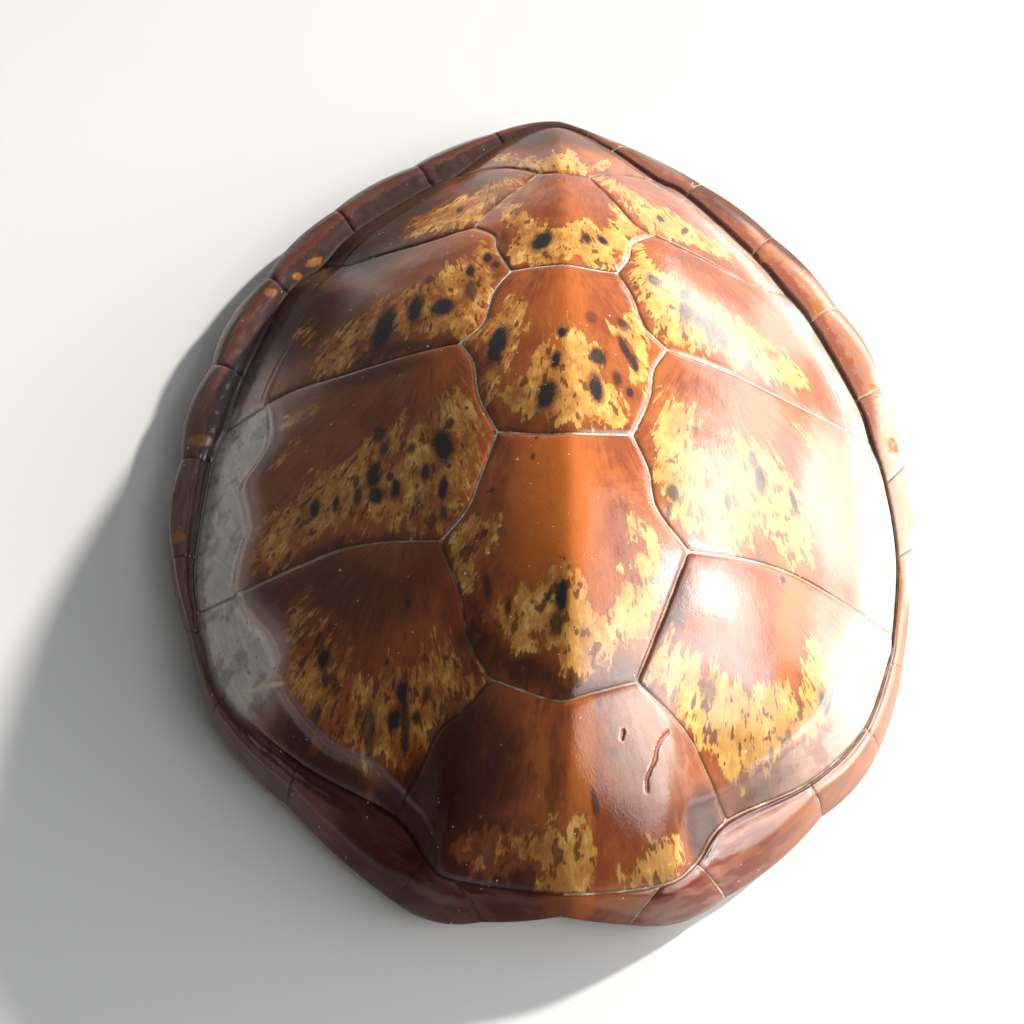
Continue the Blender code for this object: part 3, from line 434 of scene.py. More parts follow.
# Soft patches of colour: x, y, half width, half length, lean in degrees, strength. A patch is even
# over its core and then fades, in shares of its half size.
PATCH_CORE = 0.45
PATCH_FADE = 0.95
PATCHES = {
    # Darker horn, mostly over the neck scute's left and the front left; the ovals on the rear rim are
    # painted shadow.
    "darker_horn_and_painted_shadow": [
        (-62, -222, 40, 32, 0, 1.1), (-32, -232, 36, 18, 0, 1.0), (-40, -200, 28, 34, 0, 0.85),
        (-4, -222, 3.5, 16, 0, 0.55), (-40, -156, 12, 16, -20, 0.7), (-52, -134, 7, 12, 0, 0.4),
        (-22, -166, 16, 9, 0, 0.5), (-66, -118, 18, 26, 12, 0.5), (-104, -122, 50, 28, 12, 0.62),
        (-84, -158, 34, 30, 0, 0.4), (-124, -138, 14, 14, 0, 0.4), (-24, -250, 34, 14, 0, 1.0),
        (-76, -224, 14, 36, -50, 0.9), (-110, -187, 12, 36, -50, 1.0), (-134, -164, 9, 16, -40, 0.55),
        (-150, -140, 8, 12, -30, 0.4), (48, -134, 7, 30, 14, 0.7), (36, -164, 7, 10, 0, 0.6),
        (66, -214, 10, 16, 0, 1.0), (92, -196, 26, 7, -30, 0.55), (-96, -4, 34, 6, 6, 0.5),
        (-4, -200, 3, 20, 0, 0.4), (66, 222, 16, 44, -60, 0.7), (20, 240, 40, 12, 0, 0.7),
        (-70, 222, 16, 50, 50, 0.6), (104, 192, 14, 44, -42, 0.9), (142, 156, 12, 36, -42, 0.75)],
    # Orange horn; the ovals along the keel are painted light, where the crown catches the key.
    "orange_and_painted_light": [
        (8, -200, 7, 30, 0, 0.75), (-6, -98, 22, 46, 0, 0.9), (0, 10, 14, 40, 0, 0.5),
        (-58, -128, 10, 20, 12, 0.15), (106, -136, 8, 34, 8, 0.6), (6, -247, 14, 7, 0, 0.7),
        (28, -246, 14, 5, 0, 0.4), (-62, -16, 14, 16, 0, 0.4), (96, -94, 30, 12, -8, 0.45),
        (0, 60, 24, 16, 0, 0.3), (-186, -2, 6, 5, 0, 0.5), (-160, 104, 6, 12, 40, 0.6)],
    # Painted sheen: the pale reflection of bright surroundings over the right flank, and a painted
    # highlight on the right rim.
    "painted_sheen": [
        (36, -190, 20, 30, -10, 0.5), (196, -20, 14, 90, 0, 1.0), (146, -48, 26, 56, 4, 0.8),
        (128, 62, 22, 44, 28, 0.55), (136, -122, 18, 30, 15, 0.45), (96, 136, 22, 26, 42, 0.35),
        (72, -60, 32, 50, 0, 0.4), (90, 30, 40, 30, 0, 0.4), (76, -120, 16, 30, 0, 0.2)],
    # Dark grey-mauve: the horn's grey in places; over the rear left and the tail, painted shadow with a
    # painted grey reflection.
    "grey_and_painted_shadow": [
        (-104, 122, 46, 56, 40, 1.0), (-140, 112, 22, 50, 40, 0.95), (-165, 60, 18, 50, 14, 0.95),
        (-96, 164, 22, 50, 48, 0.95), (-112, -20, 60, 60, 0, 0.35), (-100, 60, 60, 50, 0, 0.4),
        (-148, 70, 24, 50, -12, 1.0), (-90, 170, 30, 30, -40, 0.9), (-150, -20, 14, 40, 0, 0.55),
        (-144, -104, 12, 26, 14, 0.6), (-120, 10, 30, 16, 10, 0.5), (-40, 205, 30, 14, -30, 0.7),
        (4, 212, 44, 28, 0, 0.85), (-120, 60, 36, 40, 20, 0.6), (-60, 150, 40, 30, 30, 0.6),
        (0, 170, 30, 24, 0, 0.4), (66, 186, 30, 14, 40, 0.5), (152, -136, 14, 26, 20, 0.7),
        (92, 178, 18, 10, 40, 0.5), (130, 90, 12, 30, 20, 0.4), (22, -160, 14, 9, 0, 0.5),
        (-80, -46, 40, 14, 0, 0.2)],
    "straw": [
        (-143, 122, 3, 6, 50, 0.6), (-152, 112, 3, 3, 0, 0.5), (-194, -4, 7, 4, 0, 0.75),
        (-198, -64, 5, 4, 0, 0.6), (-166, 98, 4, 4, 0, 0.5), (188, 46, 5, 6, 0, 0.65),
        (130, 137, 3, 9, 40, 0.6), (160, 103, 5, 9, 30, 0.6), (192, 8, 4, 6, 0, 0.45)],
    "matt": [
        (-62, -212, 30, 36, 0, 0.9), (-95, 140, 55, 50, -40, 1.0), (-142, 70, 32, 60, -15, 1.0),
        (0, 205, 50, 28, 0, 0.6), (-10, -256, 50, 20, 0, 0.9), (-90, -212, 20, 50, -50, 0.5),
        (-160, -60, 26, 70, 0, 0.35), (-130, 140, 30, 60, 42, 0.8), (106, 194, 14, 50, -42, 0.9),
        (146, 150, 12, 36, -42, 0.8)],
}

# Distances to outlines stop at FAR. Streaks follow polar coordinates: the turn about a source
# times a radius, and the distance from it, with a seed of its own for each scute.
FAR = 40.0
SCUTE_FLOW_RADIUS = 85.0
MARGIN_FLOW_RADIUS = 190.0
SEED_STEP = 7.3
MARGIN_SEED = 20
MARGIN_SEED_COUNT = 40

# Values that keep the strip off the margin, the rim off the dome and spots off plain horn.
OFF_DOME_PAST = -30.0
ON_DOME_RIM = -1.0
OFF_SPOTS = -2.0

# Where the right side and the rear begin, and over how far they grow to their full strength.
RIGHT_START = -60.0
RIGHT_GROWTH = 120.0
REAR_START = -20.0
REAR_GROWTH = 100.0

# The photograph's camera: place and axes in the shell's frame.
CAMERA_PLACE = (-0.034837, -0.350329, 0.58250)
CAMERA_RIGHT = (0.99933402, 0.01305745, 0.03407371)
CAMERA_DOWN = (0.027848, -0.87631829, -0.48092696)
CAMERA_AHEAD = (0.02357974, 0.48155555, -0.87609831)
CAMERA_LENS = 42.196
CAMERA_SENSOR = 36.0
SHELL_MIDDLE = Vector((0.0, 0.0, 0.06))

# Light: a soft key from the right of the tail end, two softboxes on the right, and dim pale
# surroundings that are brighter on the right. Azimuths run from +x towards the tail.
KEY_AZIMUTH = 37.0
KEY_ELEVATION = 21.5
KEY_STRENGTH = 8.4
KEY_ANGLE = 3.0
KEY_DISTANCE = 2.0
KEY_COLOUR = (1.0, 0.955, 0.89)
# Each softbox: azimuth, elevation, distance, width, height, power in watts.
SOFTBOXES = [(3.0, 23.0, 2.0, 1.9, 0.5, 26.0), (-18.0, 31.0, 2.3, 2.6, 1.5, 34.0)]
# Panels that only show in the gloss, in the same order of numbers.
PANELS = [(28.0, 6.0, 2.0, 2.8, 0.5, 24.0), (-12.0, 46.0, 2.0, 2.0, 1.0, 18.0),
          (-41.0, 28.0, 2.0, 1.8, 1.1, 27.0), (0.0, 30.0, 2.0, 0.56, 0.36, 12.0)]
SKY_BASE = 0.11
# Each patch of sky: azimuth, elevation, the cosines where it starts and is full, its radiance.
SKY_PATCHES = [(20.0, 25.0, 0.2, 0.95, 0.5), (140.0, 15.0, 0.5, 0.97, 0.1)]
SKY_COLOUR = (0.96, 0.98, 1.0, 1.0)
# The floor's two greys, and how far it reaches from the shell in metres.
FLOOR_TONES = (0.58, 0.6032)
FLOOR_REACH = 6.0


def smooth(value):
    """A soft step from 0 to 1 as value goes from 0 to 1."""
    value = np.clip(value, 0.0, 1.0)
    return value * value * (3.0 - 2.0 * value)


def through(points, step, closed=False):
    """Points along a Catmull-Rom curve, about a step apart, in one list for each interval."""
    points = [np.array(point, float) for point in points]
    count = len(points)
    intervals = []
    for i in range(count if closed else count - 1):
        start, end = points[i], points[(i + 1) % count]
        before = points[i - 1] if closed or i > 0 else 2 * start - end
        after = points[(i + 2) % count] if closed or i + 2 < count else 2 * end - start
        pieces = max(1, round(float(np.linalg.norm(end - start)) / step))
        shares = np.arange(pieces + 1) / pieces
        row = []
        for t in shares:
            bend = (end - before) * t + (2 * before - 5 * start + 4 * end - after) * t**2
            bend = bend + (3 * start - before - 3 * end + after) * t**3
            row.append(start + 0.5 * bend)
        intervals.append(row)
    return intervals


def polyline(points, step):
    """The same curve as one list."""
    intervals = through(points, step)
    return [point for row in intervals for point in row[:-1]] + [intervals[-1][-1]]


def radius(x, y):
    """The distance from CENTRE."""
    return np.hypot(x - CENTRE[0], y - CENTRE[1])


def direction(x, y):
    """The angle round CENTRE, 0 towards the neck and positive towards the right."""
    return np.arctan2(x - CENTRE[0], CENTRE[1] - y)


class Round:
    """A value that changes with the direction from CENTRE, read between the given directions."""

    def __init__(self, turns, values):
        order = np.argsort(turns)
        self.turns = np.array(turns, float)[order]
        self.values = np.array(values, float)[order]

    def at(self, x, y):
        return np.interp(direction(x, y), self.turns, self.values, period=2 * math.pi)

    def softened(self, width):
        """The same value averaged over directions within about width radians."""
        turns = np.linspace(-math.pi, math.pi, TURN_COUNT, endpoint=False)
        values = np.interp(turns, self.turns, self.values, period=2 * math.pi)
        weights = np.exp(-0.5 * (turns / width) ** 2)
        weights = np.fft.ifftshift(weights / weights.sum())
        spectrum = np.fft.rfft(values) * np.fft.rfft(weights)
        return Round(turns, np.fft.irfft(spectrum, len(turns)))


def round_value(points, values):
    points = np.array(points, float)
    return Round(direction(points[:, 0], points[:, 1]), values)


def round_reach(points):
    """How far from CENTRE these points lie, by direction."""
    points = np.array(points, float)
    return round_value(points, radius(points[:, 0], points[:, 1]))


def around(left, right, neck=None, tail=None):
    """One closed list of points, from the neck along the right flank to the tail and back."""
    head = [] if neck is None else [neck]
    end = [] if tail is None else [tail]
    return head + list(right) + end + list(reversed(left))


def margin_round(values):
    """Values at the margin's corners by direction, from one list for both sides or one for each."""
    sides = values if isinstance(values, dict) else {"left": values, "right": values}
    left, right = sides["left"], sides["right"]
    corners = around(INNER_CORNERS["left"], INNER_CORNERS["right"], NECK_SEAM, TAIL_SEAM)
    return round_value(corners, around(left[1:-1], right[1:-1], left[0], left[-1])).softened(BLEND)


def ring_side(side):
    """One side's corners on the seam round the dome, from the neck back."""
    return [INNER_CORNERS[side][key] if isinstance(key, int) else JUNCTIONS[side][key]
            for key in RING_ORDER]


def margin_columns(step, seam_half):
    """Pairs of points (on the dome's seam, on the outer edge) all round, in mesh columns.

    Each item is (inner, outer, is_seam): is_seam marks a column on a seam between two marginals.
    """
    ring = around(ring_side("left"), ring_side("right"), NECK_SEAM, TAIL_SEAM)
    keys = around(RING_ORDER, RING_ORDER, "neck", "tail")
    outer = around(OUTER_CORNERS["left"], OUTER_CORNERS["right"], NECK_EDGE, TAIL_EDGE)
    bulges = EDGE_BULGE["right"] + EDGE_BULGE["left"][::-1]
    rows = through(ring, step, closed=True)
    corners = [i for i, key in enumerate(keys) if not isinstance(key, str) or key in ("neck", "tail")]
    columns = []
    for n, first in enumerate(corners):
        last = corners[(n + 1) % len(corners)]
        span = [first] if (first + 1) % len(ring) == last else [first, (first + 1) % len(ring)]
        inner = [point for i in span for point in rows[i][:-1]] + [rows[span[-1]][-1]]
        lengths = np.cumsum([0.0] + [np.linalg.norm(b - a) for a, b in zip(inner, inner[1:])])
        start = np.array(outer[n], float)
        chord = np.array(outer[(n + 1) % len(outer)], float) - start
        outward = np.array([chord[1], -chord[0]]) / np.linalg.norm(chord)
        ends_at_seam = (keys[first] not in ("neck", "tail"), keys[last] not in ("neck", "tail"))
        shares = list(lengths / lengths[-1])
        places = list(zip(shares[:-1], inner[:-1]))
        flank = seam_half / lengths[-1]
        if ends_at_seam[0]:
            places.insert(1, (flank, inner[0] + (inner[1] - inner[0]) * flank / shares[1]))
        if ends_at_seam[1]:
            back = flank / (1 - shares[-2])
            places.append((1 - flank, inner[-1] + (inner[-2] - inner[-1]) * back))
        for share, point in places:
            edge = start + chord * share + outward * (4 * bulges[n] * share * (1 - share))
            columns.append((point, edge, share == 0 and ends_at_seam[0]))
    return columns


def dome_seams(step):
    """The seams on the dome as polylines that share their end points, each with its dirt."""
    lines = []
    for side, seams in SIDE_SEAMS.items():
        for start, bends, end, dirt in seams:
            points = [JUNCTIONS[side][start], *bends, JUNCTIONS[side][end]]
            lines.append((polyline(points, step), dirt))
    for key, bends, dirt in CROSS_SEAMS:
        points = [JUNCTIONS["left"][key], *bends, JUNCTIONS["right"][key]]
        lines.append((polyline(points, step), dirt))
    return lines


def point_tree(points):
    tree = kdtree.KDTree(len(points))
    for i, point in enumerate(points):
        tree.insert((point[0], point[1], 0.0), i)
    tree.balance()
    return tree


def dense_points(line):
    """Points closely spaced along a line."""
    points = []
    for start, end in zip(line, line[1:]):
        count = max(1, math.ceil(float(np.linalg.norm(np.subtract(end, start))) / LINE_SPACING))
        points += [np.array(start) + np.subtract(end, start) * i / count for i in range(count + 1)]
    return points


def line_tree(lines):
    return point_tree([point for line in lines for point in dense_points(line)])


def distances(tree, x, y):
    return np.array([tree.find((a, b, 0.0))[2] for a, b in zip(x, y)])


def wander(x, y, swings):
    """Soft unevenness: the sum of swings, each of a size, a height and a seed."""
    total = np.zeros(len(x))
    for size, height, seed in swings:
        values = [noise.noise(Vector((a / size, b / size, seed))) for a, b in zip(x, y)]
        total = total + height * np.array(values)
    return total


class Carapace:
    """The shape of the shell, as heights over the plan."""

    def __init__(self):
        self.columns = margin_columns(SEAM_STEP, CRACK_HALF)
        self.inner = [column[0] for column in self.columns]
        self.outer = [column[1] for column in self.columns]
        seams = dome_seams(SEAM_STEP)
        ring = self.inner + self.inner[:1]
        self.seams = [line for line, dirt in seams]
        self.dome_lines = self.seams + [ring]
        self.margin_lines = [[inner, outer] for inner, outer, is_seam in self.columns if is_seam]
        half = len(ring) // 2
        dirty = [*seams, (ring[: half + 1], RING_DIRT["right"]), (ring[half:], RING_DIRT["left"])]
        for line in self.margin_lines:
            side = "right" if line[1][0] > 0 else "left"
            dirty.append((line, MARGIN_DIRT[side]))
        dense = [(point, amount) for line, amount in dirty for point in dense_points(line)]
        self.tree = point_tree([point for point, amount in dense])
        self.tree_dirt = np.array([amount for point, amount in dense])
        self.ring = round_reach(self.inner)
        self.calm_ring = self.ring.softened(CALM)
        self.edge = round_reach(self.outer)
        self.gutter = margin_round(GUTTER_HEIGHT)
        self.crest = margin_round(CREST_HEIGHT)
        self.crest_place = margin_round(CREST_PLACE)
        self.edge_height = margin_round(EDGE_HEIGHT)
        self.gutter_share = margin_round(GUTTER_SHARE)
        bone = around(BONE_EDGE["left"], BONE_EDGE["right"])
        places = [point[:2] for point in bone]
        self.bone_edge = round_reach(places)
        self.sunken = round_value(places, [point[2] for point in bone])
        self.greyness = round_value(places, [point[3] for point in bone])
        self.scar = line_tree(SCARS)
        self.spur = line_tree([SPUR])

    def seam(self, x, y):
        """Distance to the nearest seam, and the dirt in it."""
        found = [self.tree.find((a, b, 0.0)) for a, b in zip(x, y)]
        return np.array([f[2] for f in found]), self.tree_dirt[[f[1] for f in found]]

    def inset(self, x, y):
        """How far inside the outer edge a point lies."""
        inset = self.edge.at(x, y) - radius(x, y)
        return np.where(inset < SNAP, 0.0, inset)

    def on_dome(self, x, y):
        return radius(x, y) <= self.ring.at(x, y) + RING_SLACK

    def lift(self, x, y):
        """How far the rim stands off the floor: none at four places, most between them."""
        wave = np.sin(2.0 * (direction(x, y) - math.pi / 4)) ** 2
        return RIM_LIFT * np.clip((wave - FOOT_SHARE) / (1 - FOOT_SHARE), 0.0, 1.0)

    def smooth_dome(self, x, y):
        """The dome without its details. Its inner half follows a calmer ring than its edge."""
        true_ring = self.ring.at(x, y)
        outward = smooth(2.0 * radius(x, y) / true_ring - 1.0)
        reach = self.calm_ring.at(x, y) * (1 - outward) + true_ring * outward
        share = np.clip(radius(x, y) / reach, 0.0, 1.0)
        turn = direction(x, y)
        across, along = np.abs(np.sin(turn)), np.abs(np.cos(turn))
        rearward = smooth(np.abs(turn) / math.pi * 2 - 1)
        power = NECK_POWER + (TAIL_POWER - NECK_POWER) * rearward
        fall = (share * across) ** SIDE_POWER + (share * along) ** power
        fall = fall / (across**SIDE_POWER + along**power)
        low = self.gutter.at(x, y)
        return low + (CROWN - low) * (1 - fall)

    def margin_share(self, x, y):
        """0 on the seam round the dome and 1 on the outer edge."""
        inner, outer = self.ring.at(x, y), self.edge.at(x, y)
        return np.clip(1 - self.inset(x, y) / (outer - inner), 0.0, 1.0)

    def margin(self, x, y):
        """The marginal scutes: a gutter and a turned-up rim, or an edge that rolls over."""
        share = self.margin_share(x, y)
        gutter, crest = self.gutter.at(x, y), self.crest.at(x, y)
        low = self.edge_height.at(x, y) + self.lift(x, y)
        rolled = low + (gutter - low) * (1 - share**ROLL_POWER) ** ROLL_ROUNDNESS
        place = self.crest_place.at(x, y)
        ragged = wander(x, y, RIM_SWINGS)
        rising = (share / place - INNER_FACE[0] + ragged) / (INNER_FACE[1] - INNER_FACE[0])
        inside = gutter + (crest - gutter) * smooth(rising)
        beyond = np.clip((share - place) / (1 - place), 0.0, 1.0)
        outside = low + (crest - low) * (1 - beyond**2) ** CREST_ROUNDNESS
        turned_up = np.where(share < place, inside, outside)
        blend = self.gutter_share.at(x, y)
        return rolled * (1 - blend) + turned_up * blend

    def rim_place(self, x, y):
        """0 on the seam round the dome, 0.5 on the rim's crest and 1 on the outer edge."""
        share, place = self.margin_share(x, y), self.crest_place.at(x, y)
        beyond = np.maximum((share - place) / (1 - place), 0.0)
        return 0.5 * np.minimum(share / place, 1.0) + 0.5 * beyond

    def past_bone(self, x, y):
        return radius(x, y) - self.bone_edge.at(x, y)

    def relief(self, x, y):
        """Keel, bone edge and sunken strip on the dome."""
        past = self.past_bone(x, y)
        depth = self.sunken.at(x, y)
        lip = LIP_HEIGHT * np.clip(depth / LIP_FULL_DEPTH, 0.0, 1.0)
        lip = lip * np.exp(-((past / LIP_WIDTH) ** 2))
        sunk = -depth * smooth(past / STEP_WIDTH)
        tail = smooth((y - TAIL_KEEL_START) / TAIL_KEEL_GROWTH)
        height = KEEL_HEIGHT + (TAIL_KEEL_HEIGHT - KEEL_HEIGHT) * tail
        first, last = KEEL_ENDS
        fade = smooth((y - first) / KEEL_FADES[0]) * smooth((last - y) / KEEL_FADES[1])
        keel = height * fade * np.exp(-np.abs((x - KEEL_X) / KEEL_WIDTH) ** KEEL_SHARPNESS)
        return lip + sunk + keel

    def fine(self, x, y):
        """Unevenness, scar and torn flake, which fade out at the outer edge."""
        uneven = wander(x, y, HORN_SWINGS)
        scar = distances(self.scar, x, y)
        torn = -SCAR_DEPTH * np.exp(-((scar / SCAR_WIDTH) ** 2))
        crumbs = np.clip(wander(x, y, CRUMB_SWINGS), 0.0, 1.0)
        torn = torn + SCAR_EDGE * crumbs * np.exp(-(((scar - CRUMB_PLACE) / CRUMB_WIDTH) ** 2))
        spur = SPUR_HEIGHT * np.exp(-((distances(self.spur, x, y) / SPUR_WIDTH) ** 2))
        return (uneven + torn + spur) * smooth(self.inset(x, y) / UNEVEN_FADE)

    def top(self, x, y):
        """The upper side, with all its details."""
        near = self.seam(x, y)[0]
        rise = SCUTE_RISE * (1 - np.exp(-near / SCUTE_EDGE))
        groove = -CRACK_DEPTH * np.clip(1 - near / CRACK_HALF, 0.0, 1.0)
        groove = groove - VALLEY_DEPTH * (1 - smooth(near / VALLEY_HALF))
        groove = groove * smooth(self.inset(x, y) / GROOVE_FADE)
        dome = self.smooth_dome(x, y) + self.relief(x, y) + rise
        surface = np.where(self.on_dome(x, y), dome, self.margin(x, y))
        return surface + groove + self.fine(x, y)

    def slope_thickness(self, x, y):
        """The vertical thickness of a wall of even thickness."""
        across = self.smooth_dome(x + SLOPE_REACH, y) - self.smooth_dome(x - SLOPE_REACH, y)
        along = self.smooth_dome(x, y + SLOPE_REACH) - self.smooth_dome(x, y - SLOPE_REACH)
        steep = np.clip(np.hypot(across, along) / (2 * SLOPE_REACH), 0.0, STEEPEST)
        return THICKNESS * np.sqrt(1 + steep**2)

    def ribs(self, x, y):
        """The backbone and the rib pairs that stand out on the inside of the dome."""
        spine = SPINE_RELIEF * np.exp(-np.abs(x / SPINE_HALF_WIDTH) ** 3)
        start, end = RIB_ROW
        row = (y - start) / (end - start) * RIB_PAIRS
        bend = RIB_BEND * (np.abs(x) / RIB_REACH) ** 2 * np.sign(y - (start + end) / 2)
        rib = RIB_RELIEF * (0.5 + 0.5 * np.cos(2 * math.pi * (row - bend)))
        return spine + rib * smooth(np.abs(x) / RIB_START)

    def underside(self, x, y):
        """The foot of the rim, and then the inner wall up to the lining of the dome."""
        inset = self.inset(x, y)
        lift = self.lift(x, y)
        edge = self.edge_height.at(x, y)
        turn = lift + edge * np.clip(1 - inset / FOOT_INSET, 0.0, 1.0) ** 2
        wall = lift + WALL_SLOPE * np.clip(inset - WALL_START, 0.0, None)
        under_dome = smooth((self.ring.at(x, y) - radius(x, y)) / RELIEF_BLEND)
        ceiling = self.smooth_dome(x, y) - self.slope_thickness(x, y) - LINING_GAP
        ceiling = ceiling - self.ribs(x, y) * under_dome
        inner = np.minimum(wall, np.maximum(ceiling, lift))
        return np.where(inset < WALL_START, turn, inner)


def triangulate(points, walls, lines, outline):
    """Triangles over the plan that keep to the outline, the walls and the lines.

    It gives the plan points, the triangles, and the pairs of points that the walls join.
    """
    index = {}
    welded = []

    def number(point):
        key = (round(float(point[0]), 2), round(float(point[1]), 2))
        if key not in index:
            index[key] = len(welded)
            welded.append(Vector(key))
        return index[key]

    def pairs(line):
        ids = [number(point) for point in line]
        return [pair for pair in zip(ids, ids[1:]) if pair[0] != pair[1]]

    loop = [number(point) for point in outline]
    wall_edges = [pair for line in walls for pair in pairs(line)]
    edges = wall_edges + [pair for line in lines for pair in pairs(line)]
    for point in points:
        number(point)
    found = geometry.delaunay_2d_cdt(welded, edges, [loop], 1, EDGE_TOLERANCE)
    plan = np.array([tuple(vertex) for vertex in found[0]])
    parted = {tuple(sorted(edge)) for edge, origins in zip(found[1], found[4])
              if any(origin < len(wall_edges) for origin in origins)}
    return plan, np.array([tuple(face) for face in found[2]]), parted


def field(step, keep, low=(-210.0, -260.0), high=(212.0, 265.0)):
    """A triangular field of points over the plan from low to high, where keep allows them."""
    rows = np.arange(low[1], high[1], step * math.sqrt(3) / 2)
    points = []
    for n, y in enumerate(rows):
        x = np.arange(low[0], high[0], step) + (n % 2) * step / 2
        points.append(np.stack([x, np.full_like(x, y)], 1))
    points = np.concatenate(points)
    return points[keep(points[:, 0], points[:, 1])]


def flanks(lines, offset):
    """Points beside each inner vertex of the lines, at an offset to either side."""
    points = []
    for line in lines:
        for before, here, after in zip(line, line[1:], line[2:]):
            along = (after - before) / np.linalg.norm(after - before)
            side = np.array([-along[1], along[0]]) * offset
            points += [here + side, here - side]
    return points


def top_plan(shell):
    """Plan points and triangles of the upper side, with the seams as edges of the mesh."""
    rings = []
    for share in MARGIN_SHARES:
        rings.append([a + (b - a) * share for a, b in zip(shell.inner, shell.outer)])
    round_dome = [shell.inner[-1:] + shell.inner + shell.inner[:1]]
    beside = []
    for offset in (CRACK_HALF, VALLEY_HALF):
        sides = np.array(flanks(round_dome + shell.seams, offset))
        near = distances(shell.tree, sides[:, 0], sides[:, 1])
        inside = radius(sides[:, 0], sides[:, 1]) < shell.ring.at(sides[:, 0], sides[:, 1])
        beside.append(sides[(near > SIDE_CLEARANCE * offset) & inside])
    beside = np.concatenate(beside)

    def keep(x, y):
        clear = distances(shell.tree, x, y) > VALLEY_HALF + 0.5 * FIELD_STEP
        return clear & (radius(x, y) < shell.ring.at(x, y) - VALLEY_HALF)

    points = [*beside, *field(FIELD_STEP, keep)]
    for line in [*SCARS, SPUR]:
        corners = np.array(line)
        low, high = corners.min(axis=0) - DAMAGE_REACH, corners.max(axis=0) + DAMAGE_REACH
        points += [*field(DAMAGE_STEP, keep, low, high)]
    points += [point for ring in rings for point in ring]
    walls = list(shell.dome_lines)
    for inner, outer in shell.margin_lines:
        walls.append([inner + (outer - inner) * share for share in (0, *MARGIN_SHARES, 1)])
    return triangulate(points, walls, [ring + ring[:1] for ring in rings], shell.outer)


def underside_plan(shell):
    """Plan points and triangles of the underside, with rings of points near the outer edge."""
    rings = []
    for inset in UNDERSIDE_RINGS:
        ring = []
        for point in shell.outer[::2]:
            inward = np.array(CENTRE) - point
            ring.append(point + inward * inset / np.linalg.norm(inward))
        rings.append(ring + ring[:1])

    def keep(x, y):
        return shell.inset(x, y) > UNDERSIDE_RINGS[-1] + 0.5 * UNDERSIDE_STEP

    return triangulate(list(field(UNDERSIDE_STEP, keep)), [], rings, shell.outer)[:2]


# Patterns: signed distances to outlines, ovals, and streak coordinates.

def inside_outlines(outlines, x, y):
    """How far inside the nearest of these outlines a point lies, negative outside them."""
    best = np.full(len(x), -np.inf)
    for outline in outlines:
        corners = np.array(outline, float)
        ends = np.roll(corners, -1, axis=0)
        nearest = np.full(len(x), np.inf)
        crossings = np.zeros(len(x), int)
        for (ax, ay), (bx, by) in zip(corners, ends):
            dx, dy = bx - ax, by - ay
            share = np.clip(((x - ax) * dx + (y - ay) * dy) / (dx * dx + dy * dy), 0.0, 1.0)
            nearest = np.minimum(nearest, np.hypot(x - ax - share * dx, y - ay - share * dy))
            if dy != 0:
                spans = (ay > y) != (by > y)
                crossings += spans & (x < ax + (y - ay) * dx / dy)
        best = np.maximum(best, np.where(crossings % 2 == 1, nearest, -nearest))
    return best


def oval_reach(oval, x, y):
    """How far out of an oval's middle each point lies: 1 on its edge."""
    middle_x, middle_y, half_width, half_length, lean = oval
    turn = math.radians(lean)
    across = (x - middle_x) * math.cos(turn) - (y - middle_y) * math.sin(turn)
    along = (x - middle_x) * math.sin(turn) + (y - middle_y) * math.cos(turn)
    return np.hypot(across / half_width, along / half_length)


def spot_field(spots, x, y):
    """1 in the middle of a spot, 0 on its edge and below 0 outside, and that spot's darkness."""
    best = np.full(len(x), OFF_SPOTS)
    dark = np.zeros(len(x))
    for *oval, darkness in spots:
        value = 1 - oval_reach(oval, x, y)
        dark = np.where(value > best, darkness, dark)
        best = np.maximum(best, value)
    return best, dark


def patch_field(patches, x, y):
    """The strongest of these soft ovals at each point."""
    best = np.zeros(len(x))
    for *oval, strength in patches:
        faded = smooth((oval_reach(oval, x, y) - PATCH_CORE) / PATCH_FADE)
        best = np.maximum(best, strength * (1 - faded))
    return best


def face_groups(faces, parted):
    """The region of each triangle, where the parted edges divide the regions."""
    by_edge = {}
    for n, (a, b, c) in enumerate(faces.tolist()):
        for pair in ((a, b), (b, c), (c, a)):
            by_edge.setdefault((min(pair), max(pair)), []).append(n)
    neighbours = [[] for _ in faces]
    for pair, shared in by_edge.items():
        if pair not in parted and len(shared) == 2:
            neighbours[shared[0]].append(shared[1])
            neighbours[shared[1]].append(shared[0])
    group = np.full(len(faces), -1)
    count = 0
    for start in range(len(faces)):
        if group[start] >= 0:
            continue
        stack = [start]
        group[start] = count
        while stack:
            for other in neighbours[stack.pop()]:
                if group[other] < 0:
                    group[other] = count
                    stack.append(other)
        count += 1
    return group


def scute_flow(source, x, y):
    """How far round and how far out each point lies from the place that a scute's streaks run from."""
    reach = np.hypot(x - source[0], y - source[1])
    turn = np.arctan2(x - source[0], np.abs(y - source[1]) + 1e-6) * np.sign(source[1] - y)
    return turn * SCUTE_FLOW_RADIUS, reach


